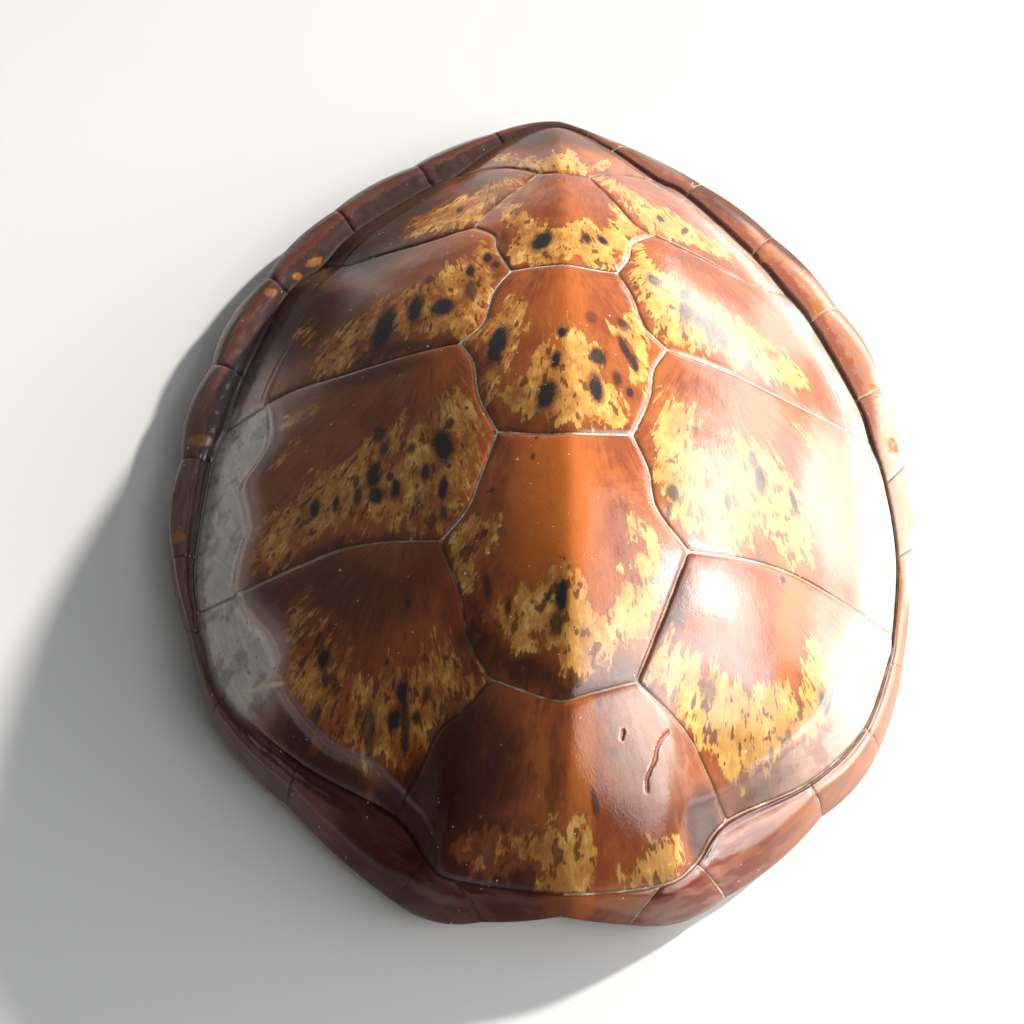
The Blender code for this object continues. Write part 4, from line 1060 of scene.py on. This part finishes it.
def corner_patterns(plan, faces, parted):
    """Values for each corner of each triangle: they may jump where two scutes meet."""
    group = face_groups(faces, parted)
    middles = plan[faces].mean(axis=1)
    names = {}
    for name, (seed, source) in SCUTES.items():
        nearest = np.argmin(np.hypot(middles[:, 0] - seed[0], middles[:, 1] - seed[1]))
        names[group[nearest]] = name
    outlines = {"amber": AMBER, "dark": DARK}
    values = {kind: np.full(faces.shape, -FAR) for kind in outlines}
    values["flow"] = np.zeros((*faces.shape, 3))
    for number in np.unique(group):
        chosen = group == number
        points = plan[faces[chosen]]
        x, y = points[:, :, 0].ravel(), points[:, :, 1].ravel()
        name = names.get(number)
        if name is None:
            turned, reach = direction(x, y) * MARGIN_FLOW_RADIUS, radius(x, y)
            seed = SEED_STEP * (MARGIN_SEED + number % MARGIN_SEED_COUNT)
        else:
            turned, reach = scute_flow(SCUTES[name][1], x, y)
            seed = SEED_STEP * sorted(SCUTES).index(name)
        flow = np.stack([turned, reach, np.full_like(x, seed)], 1)
        values["flow"][chosen] = flow.reshape(points.shape[0], 3, 3)
        for kind, drawn in outlines.items():
            if name in drawn:
                inside = inside_outlines(drawn[name], x, y)
                values[kind][chosen] = np.clip(inside, -FAR, FAR).reshape(points.shape[:2])
    return values


def point_values(shell, x, y, tops):
    """What the shader reads at each point of the upper side."""
    distance, dirt = shell.seam(x, y)
    spot, spot_dark = spot_field(SPOTS, x, y)
    on_dome = shell.on_dome(x, y)
    values = {
        "seam": distance, "dirt": dirt, "spot": spot, "spot_dark": spot_dark,
        "past": np.where(on_dome, shell.past_bone(x, y), OFF_DOME_PAST),
        "grey": shell.greyness.at(x, y), "sunken": shell.sunken.at(x, y),
        "rim": np.where(on_dome, ON_DOME_RIM, shell.rim_place(x, y)),
        "scar": distances(shell.scar, x, y), "spur": distances(shell.spur, x, y),
        "turned": shell.gutter_share.at(x, y),
        "right": smooth((x - RIGHT_START) / RIGHT_GROWTH),
        "rear": smooth((y - REAR_START) / REAR_GROWTH),
        "plan": np.column_stack([x, y, tops]),
    }
    for name, patches in PATCHES.items():
        values[name] = patch_field(patches, x, y)
    return values


def store(mesh, values):
    """Keep these values on the mesh's first corners. They stay 0 on the underside's."""
    for name, value in values.items():
        wide = value.ndim == 3
        size = 3 if wide else 1
        attribute = mesh.attributes.new(name, "FLOAT_VECTOR" if wide else "FLOAT", "CORNER")
        buffer = np.zeros((len(mesh.loops), size), np.float32)
        flat = value.reshape(-1, size)
        buffer[: len(flat)] = flat
        attribute.data.foreach_set("vector" if wide else "value", buffer.ravel())


def placing(shell):
    """A function that turns plan points and heights into metres, inside the solid's box."""
    drawn = np.array(shell.outer)
    middle = (drawn.min(axis=0) + drawn.max(axis=0)) / 2
    low, high = np.array(cad_box)
    room = (high - low)[:2] / UNIT / (drawn.max(axis=0) - drawn.min(axis=0))
    fit = min(1.0, *room)

    def place(plan, heights):
        return np.column_stack([(plan - middle) * fit, np.minimum(heights, high[2] / UNIT)]) * UNIT

    return place


def shared_edge(shell, upper, lower):
    """The number of each point of both sides, where they share the points of the outer edge."""
    edge = {}
    for i, point in enumerate(upper):
        if shell.edge.at(point[0], point[1]) - radius(point[0], point[1]) < SNAP:
            edge[tuple(np.round(point, 2))] = i
    numbers = np.arange(len(upper) + len(lower))
    for i, point in enumerate(lower):
        numbers[len(upper) + i] = edge.get(tuple(np.round(point, 2)), len(upper) + i)
    return numbers


def shell_mesh(shell):
    """One closed mesh: the upper side, the underside turned over, and their common edge."""
    upper, upper_faces, parted = top_plan(shell)
    lower, lower_faces = underside_plan(shell)
    x, y = upper[:, 0], upper[:, 1]
    tops = shell.top(x, y)
    unders = shell.underside(lower[:, 0], lower[:, 1])
    place = placing(shell)
    places = np.concatenate([place(upper, tops), place(lower, unders)])
    faces = np.concatenate([upper_faces, lower_faces[:, ::-1] + len(upper)])
    used, faces = np.unique(shared_edge(shell, upper, lower)[faces], return_inverse=True)
    mesh = bpy.data.meshes.new("shell")
    mesh.from_pydata(places[used].tolist(), [], faces.reshape(-1, 3).tolist())
    mesh.update()
    values = point_values(shell, x, y, tops)
    store(mesh, {name: value[upper_faces] for name, value in values.items()})
    store(mesh, corner_patterns(upper, upper_faces, parted))
    mesh.shade_smooth()
    under = np.arange(len(mesh.polygons)) >= len(upper_faces)
    mesh.polygons.foreach_set("material_index", under.astype(np.int32))
    return mesh


def colour(red, green, blue):
    """A linear colour from screen values of 0 to 255."""
    linear = []
    for value in (red, green, blue):
        value = value / 255
        linear.append(value / 12.92 if value <= 0.04045 else ((value + 0.055) / 1.055) ** 2.4)
    return (*linear, 1.0)


class Shader:
    """Short calls that add nodes to a material's or the world's tree and link them."""

    def __init__(self, tree):
        self.tree = tree

    def fill(self, node, inputs):
        """Link sockets to these inputs, and set the others to their values."""
        for key, value in inputs.items():
            if isinstance(value, bpy.types.NodeSocket):
                self.tree.links.new(value, node.inputs[key])
            else:
                node.inputs[key].default_value = value

    def new(self, kind, inputs, **settings):
        node = self.tree.nodes.new("ShaderNode" + kind)
        for name, value in settings.items():
            setattr(node, name, value)
        self.fill(node, inputs)
        return node

    def attribute(self, name, output="Fac"):
        return self.new("Attribute", {}, attribute_name=name).outputs[output]

    def coordinates(self, output):
        return self.new("TexCoord", {}).outputs[output]

    def math(self, operation, first, second=0.0):
        return self.new("Math", {0: first, 1: second}, operation=operation).outputs[0]

    def add(self, first, second):
        return self.math("ADD", first, second)

    def times(self, first, second):
        return self.math("MULTIPLY", first, second)

    def vector(self, operation, first, second, output="Vector"):
        return self.new("VectorMath", {0: first, 1: second}, operation=operation).outputs[output]

    def wave(self, texture, height):
        """A texture of 0 to 1 as a swing of this height about 0."""
        return self.times(self.add(texture, -0.5), height)

    def ragged(self, name, *waves):
        """An attribute plus the swings of textures: pairs of a texture and a height."""
        total = self.attribute(name)
        for texture, height in waves:
            total = self.add(total, self.wave(texture, height))
        return total

    def mixture(self, *parts):
        """The sum of these textures, each times its weight."""
        total = 0.0
        for weight, texture in parts:
            total = self.add(total, self.times(texture, weight))
        return total

    def step(self, value, low, high):
        """A soft step from 0 at low to 1 at high, or back when high is below low."""
        first, last = (1.0, 0.0) if high < low else (0.0, 1.0)
        ends = {"From Min": min(low, high), "From Max": max(low, high), "To Min": first, "To Max": last}
        node = self.new("MapRange", {"Value": value, **ends}, interpolation_type="SMOOTHSTEP")
        return node.outputs["Result"]

    def noise(self, vector, scale, detail=2.0, roughness=0.55, distortion=0.0):
        place = {"Vector": self.vector("MULTIPLY", vector, scale), "Scale": 1.0}
        kind = {"Detail": detail, "Roughness": roughness, "Distortion": distortion}
        return self.new("TexNoise", {**place, **kind}).outputs["Fac"]

    def cells(self, vector, scale):
        """Distance to the nearest cell's point, and a random value of that cell."""
        place = {"Vector": self.vector("MULTIPLY", vector, scale), "Scale": 1.0}
        node = self.new("TexVoronoi", place)
        split = self.new("SeparateColor", {0: node.outputs["Color"]})
        return node.outputs["Distance"], split.outputs[0]

    def mix(self, share, first, second):
        """A blend of two colours."""
        return self.new("Mix", {0: share, 6: first, 7: second}, data_type="RGBA").outputs[2]

    def blend(self, share, first, second):
        """A blend of two numbers."""
        return self.new("Mix", {0: share, 2: first, 3: second}, data_type="FLOAT").outputs[0]

    def paint(self, base, tone, *shares):
        """The base with a tone over it, as much as the product of these shares."""
        product = shares[0]
        for share in shares[1:]:
            product = self.times(product, share)
        return self.mix(product, base, tone)

    def bump(self, height, distance, strength):
        inputs = {"Height": height, "Distance": distance, "Strength": strength}
        return self.new("Bump", inputs).outputs["Normal"]


# Horn and bone colours.
PLAIN = colour(134, 67, 34)
PLAIN_ORANGE = colour(160, 88, 44)
PLAIN_DEEP = colour(88, 40, 27)
# Orange horn, also painted light along the keel.
ORANGE_AND_PAINTED_LIGHT = colour(182, 98, 40)
MAROON = colour(50, 24, 23)
AMBER_DEEP = colour(146, 84, 36)
AMBER_MID = colour(186, 126, 58)
AMBER_PALE = colour(222, 176, 98)
SPOT_BLACK = colour(44, 38, 40)
# Dark grey-mauve: the strip's grey blotches, and painted shadow over the rear left and the tail.
GREY_AND_PAINTED_SHADOW = colour(66, 56, 53)
# Painted sheen: the gloss's pale reflection, painted into the colour.
PAINTED_SHEEN = colour(176, 150, 134)
STRIP_GREY = colour(200, 190, 181)
STRIP_PALE = colour(220, 209, 198)
LIP_PALE = colour(214, 188, 170)
# A painted highlight along the lip.
LIP_HIGHLIGHT = colour(122, 110, 120)
CREAM = colour(222, 210, 192)
TAN_DIRT = colour(156, 126, 92)
GUTTER = colour(92, 76, 70)
RIM_OUTER = colour(152, 106, 86)
RIM_WARM = colour(168, 112, 80)
RIM_MAUVE = colour(112, 85, 80)
RIM_BROWN = colour(98, 68, 60)
RIM_INNER = colour(72, 45, 39)
RIM_RED = colour(120, 44, 26)
RIM_DARK = colour(48, 21, 18)
# Painted light on the right inner face, which lies in shadow.
RIM_INNER_PAINTED_LIGHT = colour(96, 56, 46)
# Paler rim horn with a painted highlight.
PALE_RIM_AND_HIGHLIGHT = colour(224, 192, 172)
NECK_RIM = colour(110, 46, 30)
STRAW = colour(152, 98, 50)
TORN = colour(150, 70, 30)
BONE = colour(206, 186, 150)
BONE_STAIN = colour(150, 118, 80)

# Depths of the bump in metres.
HORN_BUMP = 0.0003
BONE_BUMP = 0.0004


def add_plain_horn(shader, layers):
    """Red-brown horn with soft clouds, darker and more orange places, and dark grey-mauve.

    The orange along the keel is painted light, the darker places near the rear rim painted shadow,
    and the grey-mauve over the rear left and the tail painted shadow with a painted reflection.
    """
    mottle, streak = layers["mottle"], layers["streak"]
    soft = shader.mixture((0.55, layers["cloud"]), (0.25, streak), (0.2, mottle))
    base = shader.mix(shader.step(soft, 0.43, 0.57), PLAIN, PLAIN_ORANGE)
    deep = shader.mixture((0.4, layers["tongue"]), (0.35, mottle), (0.25, layers["hair"]))
    base = shader.paint(base, PLAIN_DEEP, shader.step(deep, 0.48, 0.62), 0.55)
    # Orange places; along the keel this is painted light.
    orange_and_painted_light = shader.ragged("orange_and_painted_light", (streak, 0.42))
    base = shader.paint(base, ORANGE_AND_PAINTED_LIGHT, shader.step(orange_and_painted_light, 0.0, 0.9))
    # Maroon where the horn is darker; near the rear rim this is painted shadow.
    darker_horn_and_painted_shadow = shader.ragged("darker_horn_and_painted_shadow", (streak, 0.7))
    base = shader.paint(base, MAROON, shader.step(darker_horn_and_painted_shadow, 0.0, 1.0), 0.92)
    # Dark grey-mauve: over the rear left and the tail, painted shadow with a painted grey reflection.
    grey_and_painted_shadow = shader.ragged("grey_and_painted_shadow", (streak, 0.35))
    return shader.paint(base, GREY_AND_PAINTED_SHADOW, shader.step(grey_and_painted_shadow, 0.05, 1.0), 0.85)


def add_dark_patches(shader, layers, base):
    """Purple-brown patches with ragged edges."""
    waves = (layers["tongue"], 18.0), (layers["streak"], 16.0), (layers["mottle"], 9.0)
    return shader.paint(base, MAROON, shader.step(shader.ragged("dark", *waves), -4.0, 5.0), 0.7)


def add_amber(shader, layers, base):
    """Amber flames with ragged edges, paler on the right as painted light, with red-brown islands."""
    mottle, streak, hair = layers["mottle"], layers["streak"], layers["hair"]
    waves = (layers["tongue"], 26.0), (streak, 22.0), (mottle, 14.0), (hair, 7.0)
    inside = shader.ragged("amber", *waves)
    flame = shader.step(inside, -1.2, 1.4)
    base = shader.paint(base, AMBER_DEEP, shader.step(inside, -7.0, 0.0), 0.45)
    pale = shader.mixture((0.5, layers["blotch"]), (0.3, mottle), (0.2, hair))
    tone = shader.mix(shader.step(pale, 0.42, 0.52), AMBER_DEEP, AMBER_MID)
    tone = shader.paint(tone, AMBER_PALE, shader.step(pale, 0.51, 0.6), 0.9)
    # Painted light: the amber is paler on the right, the side the key lights.
    tone = shader.paint(tone, AMBER_PALE, shader.attribute("right"), 0.38)
    darker_horn_and_painted_shadow = shader.attribute("darker_horn_and_painted_shadow")
    island = shader.mixture((0.55, layers["island"]), (0.25, mottle), (0.2, hair), (0.07, darker_horn_and_painted_shadow))
    tone = shader.paint(tone, PLAIN_DEEP, shader.step(island, 0.535, 0.585), 0.85)
    # Deeper under the darker-horn patches, which near the rear rim are painted shadow.
    tone = shader.paint(tone, PLAIN_DEEP, darker_horn_and_painted_shadow, 0.5)
    return shader.paint(base, tone, flame)


def add_spots(shader, layers, base):
    """Black spots, each in a brown halo."""
    blot = shader.ragged("spot", (layers["mottle"], 1.3), (layers["grain"], 0.5))
    darkness = shader.attribute("spot_dark")
    base = shader.paint(base, PLAIN_DEEP, shader.step(blot, -0.7, -0.15), 0.6, darkness)
    return shader.paint(base, SPOT_BLACK, shader.step(blot, -0.24, 0.2), darkness)


def add_painted_sheen(shader, layers, base):
    """A painted sheen: the gloss's pale reflection of the bright surroundings over the right flank."""
    sheen_share = shader.ragged("painted_sheen", (layers["mottle"], 0.35), (layers["streak"], 0.3))
    return shader.paint(base, PAINTED_SHEEN, shader.step(sheen_share, 0.0, 0.9), 0.8)


def add_strip(shader, layers, base):
    """The sunken strip: grey, with pits and growth lines, and a pale lip above it with a painted bluish
    highlight.
    """
    grey = shader.attribute("grey")
    past = shader.ragged("past", (layers["mottle"], 2.0))
    base = shader.paint(base, STRIP_GREY, shader.step(past, -13.0, 0.0), grey, 0.5)
    strip = shader.times(shader.step(past, 0.2, 2.2), grey)
    distance, chance = shader.cells(layers["plan"], (0.3, 0.24, 0.0))
    pits = shader.times(shader.step(distance, 0.17, 0.09), shader.step(chance, 0.5, 0.52))
    lines = shader.noise(layers["flow"], (0.09, 0.5, 1.0))
    tone = shader.mix(shader.step(lines, 0.35, 0.7), STRIP_GREY, STRIP_PALE)
    # Darker grey blotches, the strip's own colour.
    tone = shader.paint(tone, GREY_AND_PAINTED_SHADOW, shader.step(layers["blotch"], 0.5, 0.62), 0.45)
    tone = shader.paint(tone, MAROON, pits, strip, 0.75)
    base = shader.paint(base, tone, strip, 0.95)
    lip = shader.step(shader.math("ABSOLUTE", shader.add(past, 0.6)), 1.6, 0.4)
    base = shader.paint(base, LIP_PALE, lip, grey, 0.8)
    # A painted bluish highlight along the lip, where the strip is deep and its horn still brown, weaker
    # on the right.
    brown = shader.blend(grey, 0.55, 0.0)
    leftward = shader.blend(shader.attribute("right"), 1.0, 0.3)
    deep = shader.step(shader.attribute("sunken"), 0.55, 0.9)
    return shader.paint(base, LIP_HIGHLIGHT, lip, deep, leftward, brown), strip


def add_rim(shader, layers, base):
    """Marginal scutes: a dark inner face, an outer face that is paler on the right.

    Painted light: the inner face is lighter on the right, in the groove's shadow; the rear rim
    carries painted shadow, and the right rim a painted highlight over paler horn.
    """
    mottle, right = layers["mottle"], shader.attribute("right")
    rim = shader.attribute("rim")
    share = shader.ragged("rim", (mottle, 0.3), (layers["grain"], 0.12))
    cloudy = shader.noise(layers["flow"], (0.05, 0.2, 1.0), roughness=0.6)
    cloud = shader.step(cloudy, 0.4, 0.62)
    left_face = shader.mix(cloud, RIM_MAUVE, RIM_BROWN)
    outer = shader.paint(left_face, shader.mix(cloud, RIM_OUTER, RIM_WARM), right)
    outer = shader.paint(outer, RIM_RED, shader.step(rim, 0.9, 1.0), 0.45)
    # The inner face is lighter on the right: painted light in the groove's shadow.
    inner = shader.mix(right, RIM_INNER, RIM_INNER_PAINTED_LIGHT)
    inner = shader.paint(inner, RIM_DARK, shader.step(mottle, 0.5, 0.62), 0.5)
    tone = shader.mix(shader.step(share, 0.02, 0.12), GUTTER, inner)
    tone = shader.paint(tone, outer, shader.step(share, 0.42, 0.5))
    crest = shader.step(shader.math("ABSOLUTE", shader.add(share, -0.56)), 0.12, 0.03)
    tone = shader.paint(tone, RIM_RED, crest, shader.attribute("rear"), 0.6)
    neck = shader.paint(NECK_RIM, RIM_OUTER, shader.step(cloudy, 0.42, 0.6), 0.6)
    # Orange patches on the neck edge, from the patches that are partly painted light.
    neck = shader.paint(neck, ORANGE_AND_PAINTED_LIGHT, shader.step(shader.attribute("orange_and_painted_light"), 0.1, 0.8))
    tone = shader.mix(shader.step(shader.attribute("turned"), 0.1, 0.6), neck, tone)
    # Darker under the darker-horn patches; on the rear rim this is painted shadow.
    tone = shader.paint(tone, RIM_DARK, shader.step(shader.attribute("darker_horn_and_painted_shadow"), 0.05, 0.8), 0.75)
    # Dark grey-mauve over the rear left rim: painted shadow with a painted grey reflection.
    tone = shader.paint(tone, GREY_AND_PAINTED_SHADOW, shader.attribute("grey_and_painted_shadow"), 0.6)
    # Paler on the right rim: paler horn there, with a painted highlight over it.
    rim_pale_and_sheen = shader.ragged("painted_sheen", (mottle, 0.4))
    tone = shader.paint(tone, PALE_RIM_AND_HIGHLIGHT, shader.step(rim_pale_and_sheen, 0.1, 0.9), 0.75)
    base = shader.paint(base, tone, shader.step(rim, -0.6, -0.4))
    straw = shader.ragged("straw", (mottle, 1.2))
    return shader.paint(base, STRAW, shader.step(straw, 0.15, 0.5), 0.9)


def add_damage(shader, layers, base):
    """The torn flake on the left and the two small scars on the front right."""
    mottle = layers["mottle"]
    base = shader.paint(base, LIP_PALE, shader.step(shader.attribute("spur"), 1.1, 0.5))
    scar = shader.ragged("scar", (layers["grain"], 0.8))
    crumbs = shader.step(mottle, 0.47, 0.53)
    base = shader.paint(base, CREAM, shader.step(scar, 1.9, 1.3), crumbs, 0.6)
    base = shader.paint(base, TORN, shader.step(scar, 1.2, 0.8))
    return shader.paint(base, SPOT_BLACK, shader.step(scar, 0.7, 0.3), shader.step(mottle, 0.5, 0.56))


def add_seams(shader, layers, base):
    """A dark crack, and pale dirt where the seam holds it."""
    seam = shader.ragged("seam", (layers["grain"], 0.9))
    patchy = shader.noise(layers["plan"], (0.12, 0.12, 0.0), detail=1.0)
    amount = shader.ragged("dirt", (patchy, 1.1))
    base = shader.paint(base, MAROON, shader.step(seam, 1.1, 0.5), 0.6)
    tone = shader.mix(shader.step(amount, 0.5, 0.95), TAN_DIRT, CREAM)
    return shader.paint(base, tone, shader.step(seam, 0.55, 0.3), shader.step(amount, 0.1, 0.55), 0.9)


def add_dust(shader, layers, base):
    """Pale specks of two sizes."""
    near, chance = shader.cells(layers["plan"], (0.3, 0.3, 0.0))
    fine = shader.times(shader.step(near, 0.11, 0.07), shader.step(chance, 0.86, 0.87))
    near, chance = shader.cells(layers["plan"], (0.09, 0.09, 0.0))
    coarse = shader.times(shader.step(near, 0.062, 0.04), shader.step(chance, 0.66, 0.67))
    return shader.paint(base, CREAM, shader.math("MAXIMUM", fine, coarse), 0.75)


def horn_layers(shader):
    """Streaked textures that follow each scute, and cloudy ones over the plan."""
    flow, plan = shader.attribute("flow", "Vector"), shader.attribute("plan", "Vector")
    return {
        "flow": flow,
        "plan": plan,
        "tongue": shader.noise(flow, (0.12, 0.035, 1.0)),
        "streak": shader.noise(flow, (0.32, 0.08, 1.0), 3.0, 0.62, 0.6),
        "island": shader.noise(flow, (0.3, 0.11, 1.3)),
        "hair": shader.noise(flow, (1.2, 0.16, 1.0), 2.0, 0.6),
        "cloud": shader.noise(plan, (0.03, 0.03, 0.0)),
        "blotch": shader.noise(plan, (0.075, 0.06, 0.0), 3.0, 0.6),
        "mottle": shader.noise(plan, (0.19, 0.15, 0.0), 3.0, 0.65),
        "grain": shader.noise(plan, (1.1, 0.8, 0.0), 2.0, 0.6),
    }


def new_material(name):
    """A material, calls for its nodes, and the node of its surface."""
    material = bpy.data.materials.new(name)
    material.use_nodes = True
    return material, Shader(material.node_tree), material.node_tree.nodes["Principled BSDF"]


def horn_material():
    """Varnished horn: flames of amber in red-brown, spots, pale dirt in the seams."""
    material, shader, surface = new_material("varnished_horn")
    layers = horn_layers(shader)
    base = add_plain_horn(shader, layers)
    base = add_dark_patches(shader, layers, base)
    base = add_amber(shader, layers, base)
    base = add_spots(shader, layers, base)
    base = add_painted_sheen(shader, layers, base)
    base, strip = add_strip(shader, layers, base)
    base = add_rim(shader, layers, base)
    base = add_damage(shader, layers, base)
    base = add_seams(shader, layers, base)
    base = add_dust(shader, layers, base)
    unevenness = shader.mixture((0.7, layers["mottle"]), (0.35, layers["grain"]))
    normal = shader.bump(unevenness, HORN_BUMP, 0.5)
    shader.fill(surface, {
        "Base Color": base,
        "Roughness": shader.blend(strip, shader.blend(layers["grain"], 0.36, 0.52), 0.58),
        "Specular IOR Level": 0.0,
        "Coat Weight": shader.blend(shader.attribute("matt"), 1.0, 0.1),
        "Coat IOR": 1.5,
        "Coat Roughness": 0.15,
        "Normal": normal,
        "Coat Normal": normal,
    })
    return material


def bone_material():
    """The bare bone of the inside."""
    material, shader, surface = new_material("bare_bone")
    place = shader.coordinates("Object")
    cloud = shader.noise(place, (18.0, 18.0, 18.0), 5.0, 0.6)
    fine = shader.noise(place, (300.0, 300.0, 300.0), 4.0, 0.65)
    base = shader.mix(shader.step(cloud, 0.4, 0.7), BONE, BONE_STAIN)
    shader.fill(surface, {
        "Base Color": shader.paint(base, BONE_STAIN, shader.step(fine, 0.55, 0.75), 0.5),
        "Roughness": shader.blend(fine, 0.55, 0.8),
        "Normal": shader.bump(fine, BONE_BUMP, 0.6),
    })
    return material


def make_shell():
    """The shell's mesh, horn above and bone below, in place of the solid."""
    mesh = shell_mesh(Carapace())
    mesh.materials.append(horn_material())
    mesh.materials.append(bone_material())
    shell = bpy.data.objects.new("shell", mesh)
    bpy.context.scene.collection.objects.link(shell)
    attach(shell, "root")
    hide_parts("carapace")


def make_floor():
    """A pale floor with a hardly visible change of tone."""
    mesh = bpy.data.meshes.new("floor")
    corners = [(-1, -1), (1, -1), (1, 1), (-1, 1)]
    mesh.from_pydata([(x * FLOOR_REACH, y * FLOOR_REACH, 0) for x, y in corners], [], [(0, 1, 2, 3)])
    material, shader, surface = new_material("pale_floor")
    soft = shader.noise(shader.coordinates("Object"), (3.0, 3.0, 3.0))
    darker, lighter = [(tone, tone, tone, 1.0) for tone in FLOOR_TONES]
    tone = shader.mix(soft, darker, lighter)
    shader.fill(surface, {"Base Color": tone, "Roughness": 0.7, "Specular IOR Level": 0.2})
    mesh.materials.append(material)
    floor = bpy.data.objects.new("floor", mesh)
    bpy.context.scene.collection.objects.link(floor)


def make_camera():
    """The photograph's camera."""
    right, down, ahead = (np.array(v) for v in (CAMERA_RIGHT, CAMERA_DOWN, CAMERA_AHEAD))
    data = bpy.data.cameras.new("camera")
    data.lens = CAMERA_LENS
    data.sensor_width = CAMERA_SENSOR
    camera = bpy.data.objects.new("camera", data)
    matrix = np.eye(4)
    matrix[:3, 0], matrix[:3, 1], matrix[:3, 2] = right, -down, -ahead
    matrix[:3, 3] = CAMERA_PLACE
    camera.matrix_world = Matrix(matrix.tolist())
    bpy.context.scene.collection.objects.link(camera)
    bpy.context.scene.camera = camera


def way(azimuth, elevation):
    """The unit vector in this direction, from angles in degrees."""
    turn, rise = math.radians(azimuth), math.radians(elevation)
    return Vector((math.cos(turn) * math.cos(rise), math.sin(turn) * math.cos(rise), math.sin(rise)))


def hang(data, towards, distance):
    """A light that shines at the shell from this direction."""
    light = bpy.data.objects.new(data.name, data)
    light.location = towards * distance + SHELL_MIDDLE
    light.rotation_euler = towards.to_track_quat("Z", "Y").to_euler()
    bpy.context.scene.collection.objects.link(light)
    return light


def make_key():
    """The key light, which doesn't show in the gloss."""
    key = bpy.data.lights.new("key", "SUN")
    key.energy = KEY_STRENGTH
    key.angle = math.radians(KEY_ANGLE)
    key.color = KEY_COLOUR
    light = hang(key, way(KEY_AZIMUTH, KEY_ELEVATION), KEY_DISTANCE)
    light.visible_glossy = False


def make_softboxes(name, softboxes, only_gloss):
    """Rectangular lights that face the shell. Some only show in the gloss."""
    for azimuth, elevation, distance, width, height, power in softboxes:
        softbox = bpy.data.lights.new(name, "AREA")
        softbox.shape = "RECTANGLE"
        softbox.size = width
        softbox.size_y = height
        softbox.energy = power
        light = hang(softbox, way(azimuth, elevation), distance)
        light.visible_diffuse = not only_gloss


def make_world():
    """Dim pale surroundings that brighten towards each patch of sky."""
    world = bpy.data.worlds.new("surroundings")
    world.use_nodes = True
    bpy.context.scene.world = world
    shader = Shader(world.node_tree)
    outward = shader.coordinates("Generated")
    total = SKY_BASE
    for azimuth, elevation, start, full, radiance in SKY_PATCHES:
        cosine = shader.vector("DOT_PRODUCT", outward, way(azimuth, elevation), "Value")
        total = shader.add(total, shader.times(shader.step(cosine, start, full), radiance))
    shader.fill(world.node_tree.nodes["Background"], {"Strength": total, "Color": SKY_COLOUR})


bpy.context.scene.view_settings.view_transform = "Standard"
make_camera()
make_shell()
make_floor()
make_key()
make_softboxes("softbox", SOFTBOXES, False)
make_softboxes("panel", PANELS, True)
make_world()

bpy.context.view_layer.update()
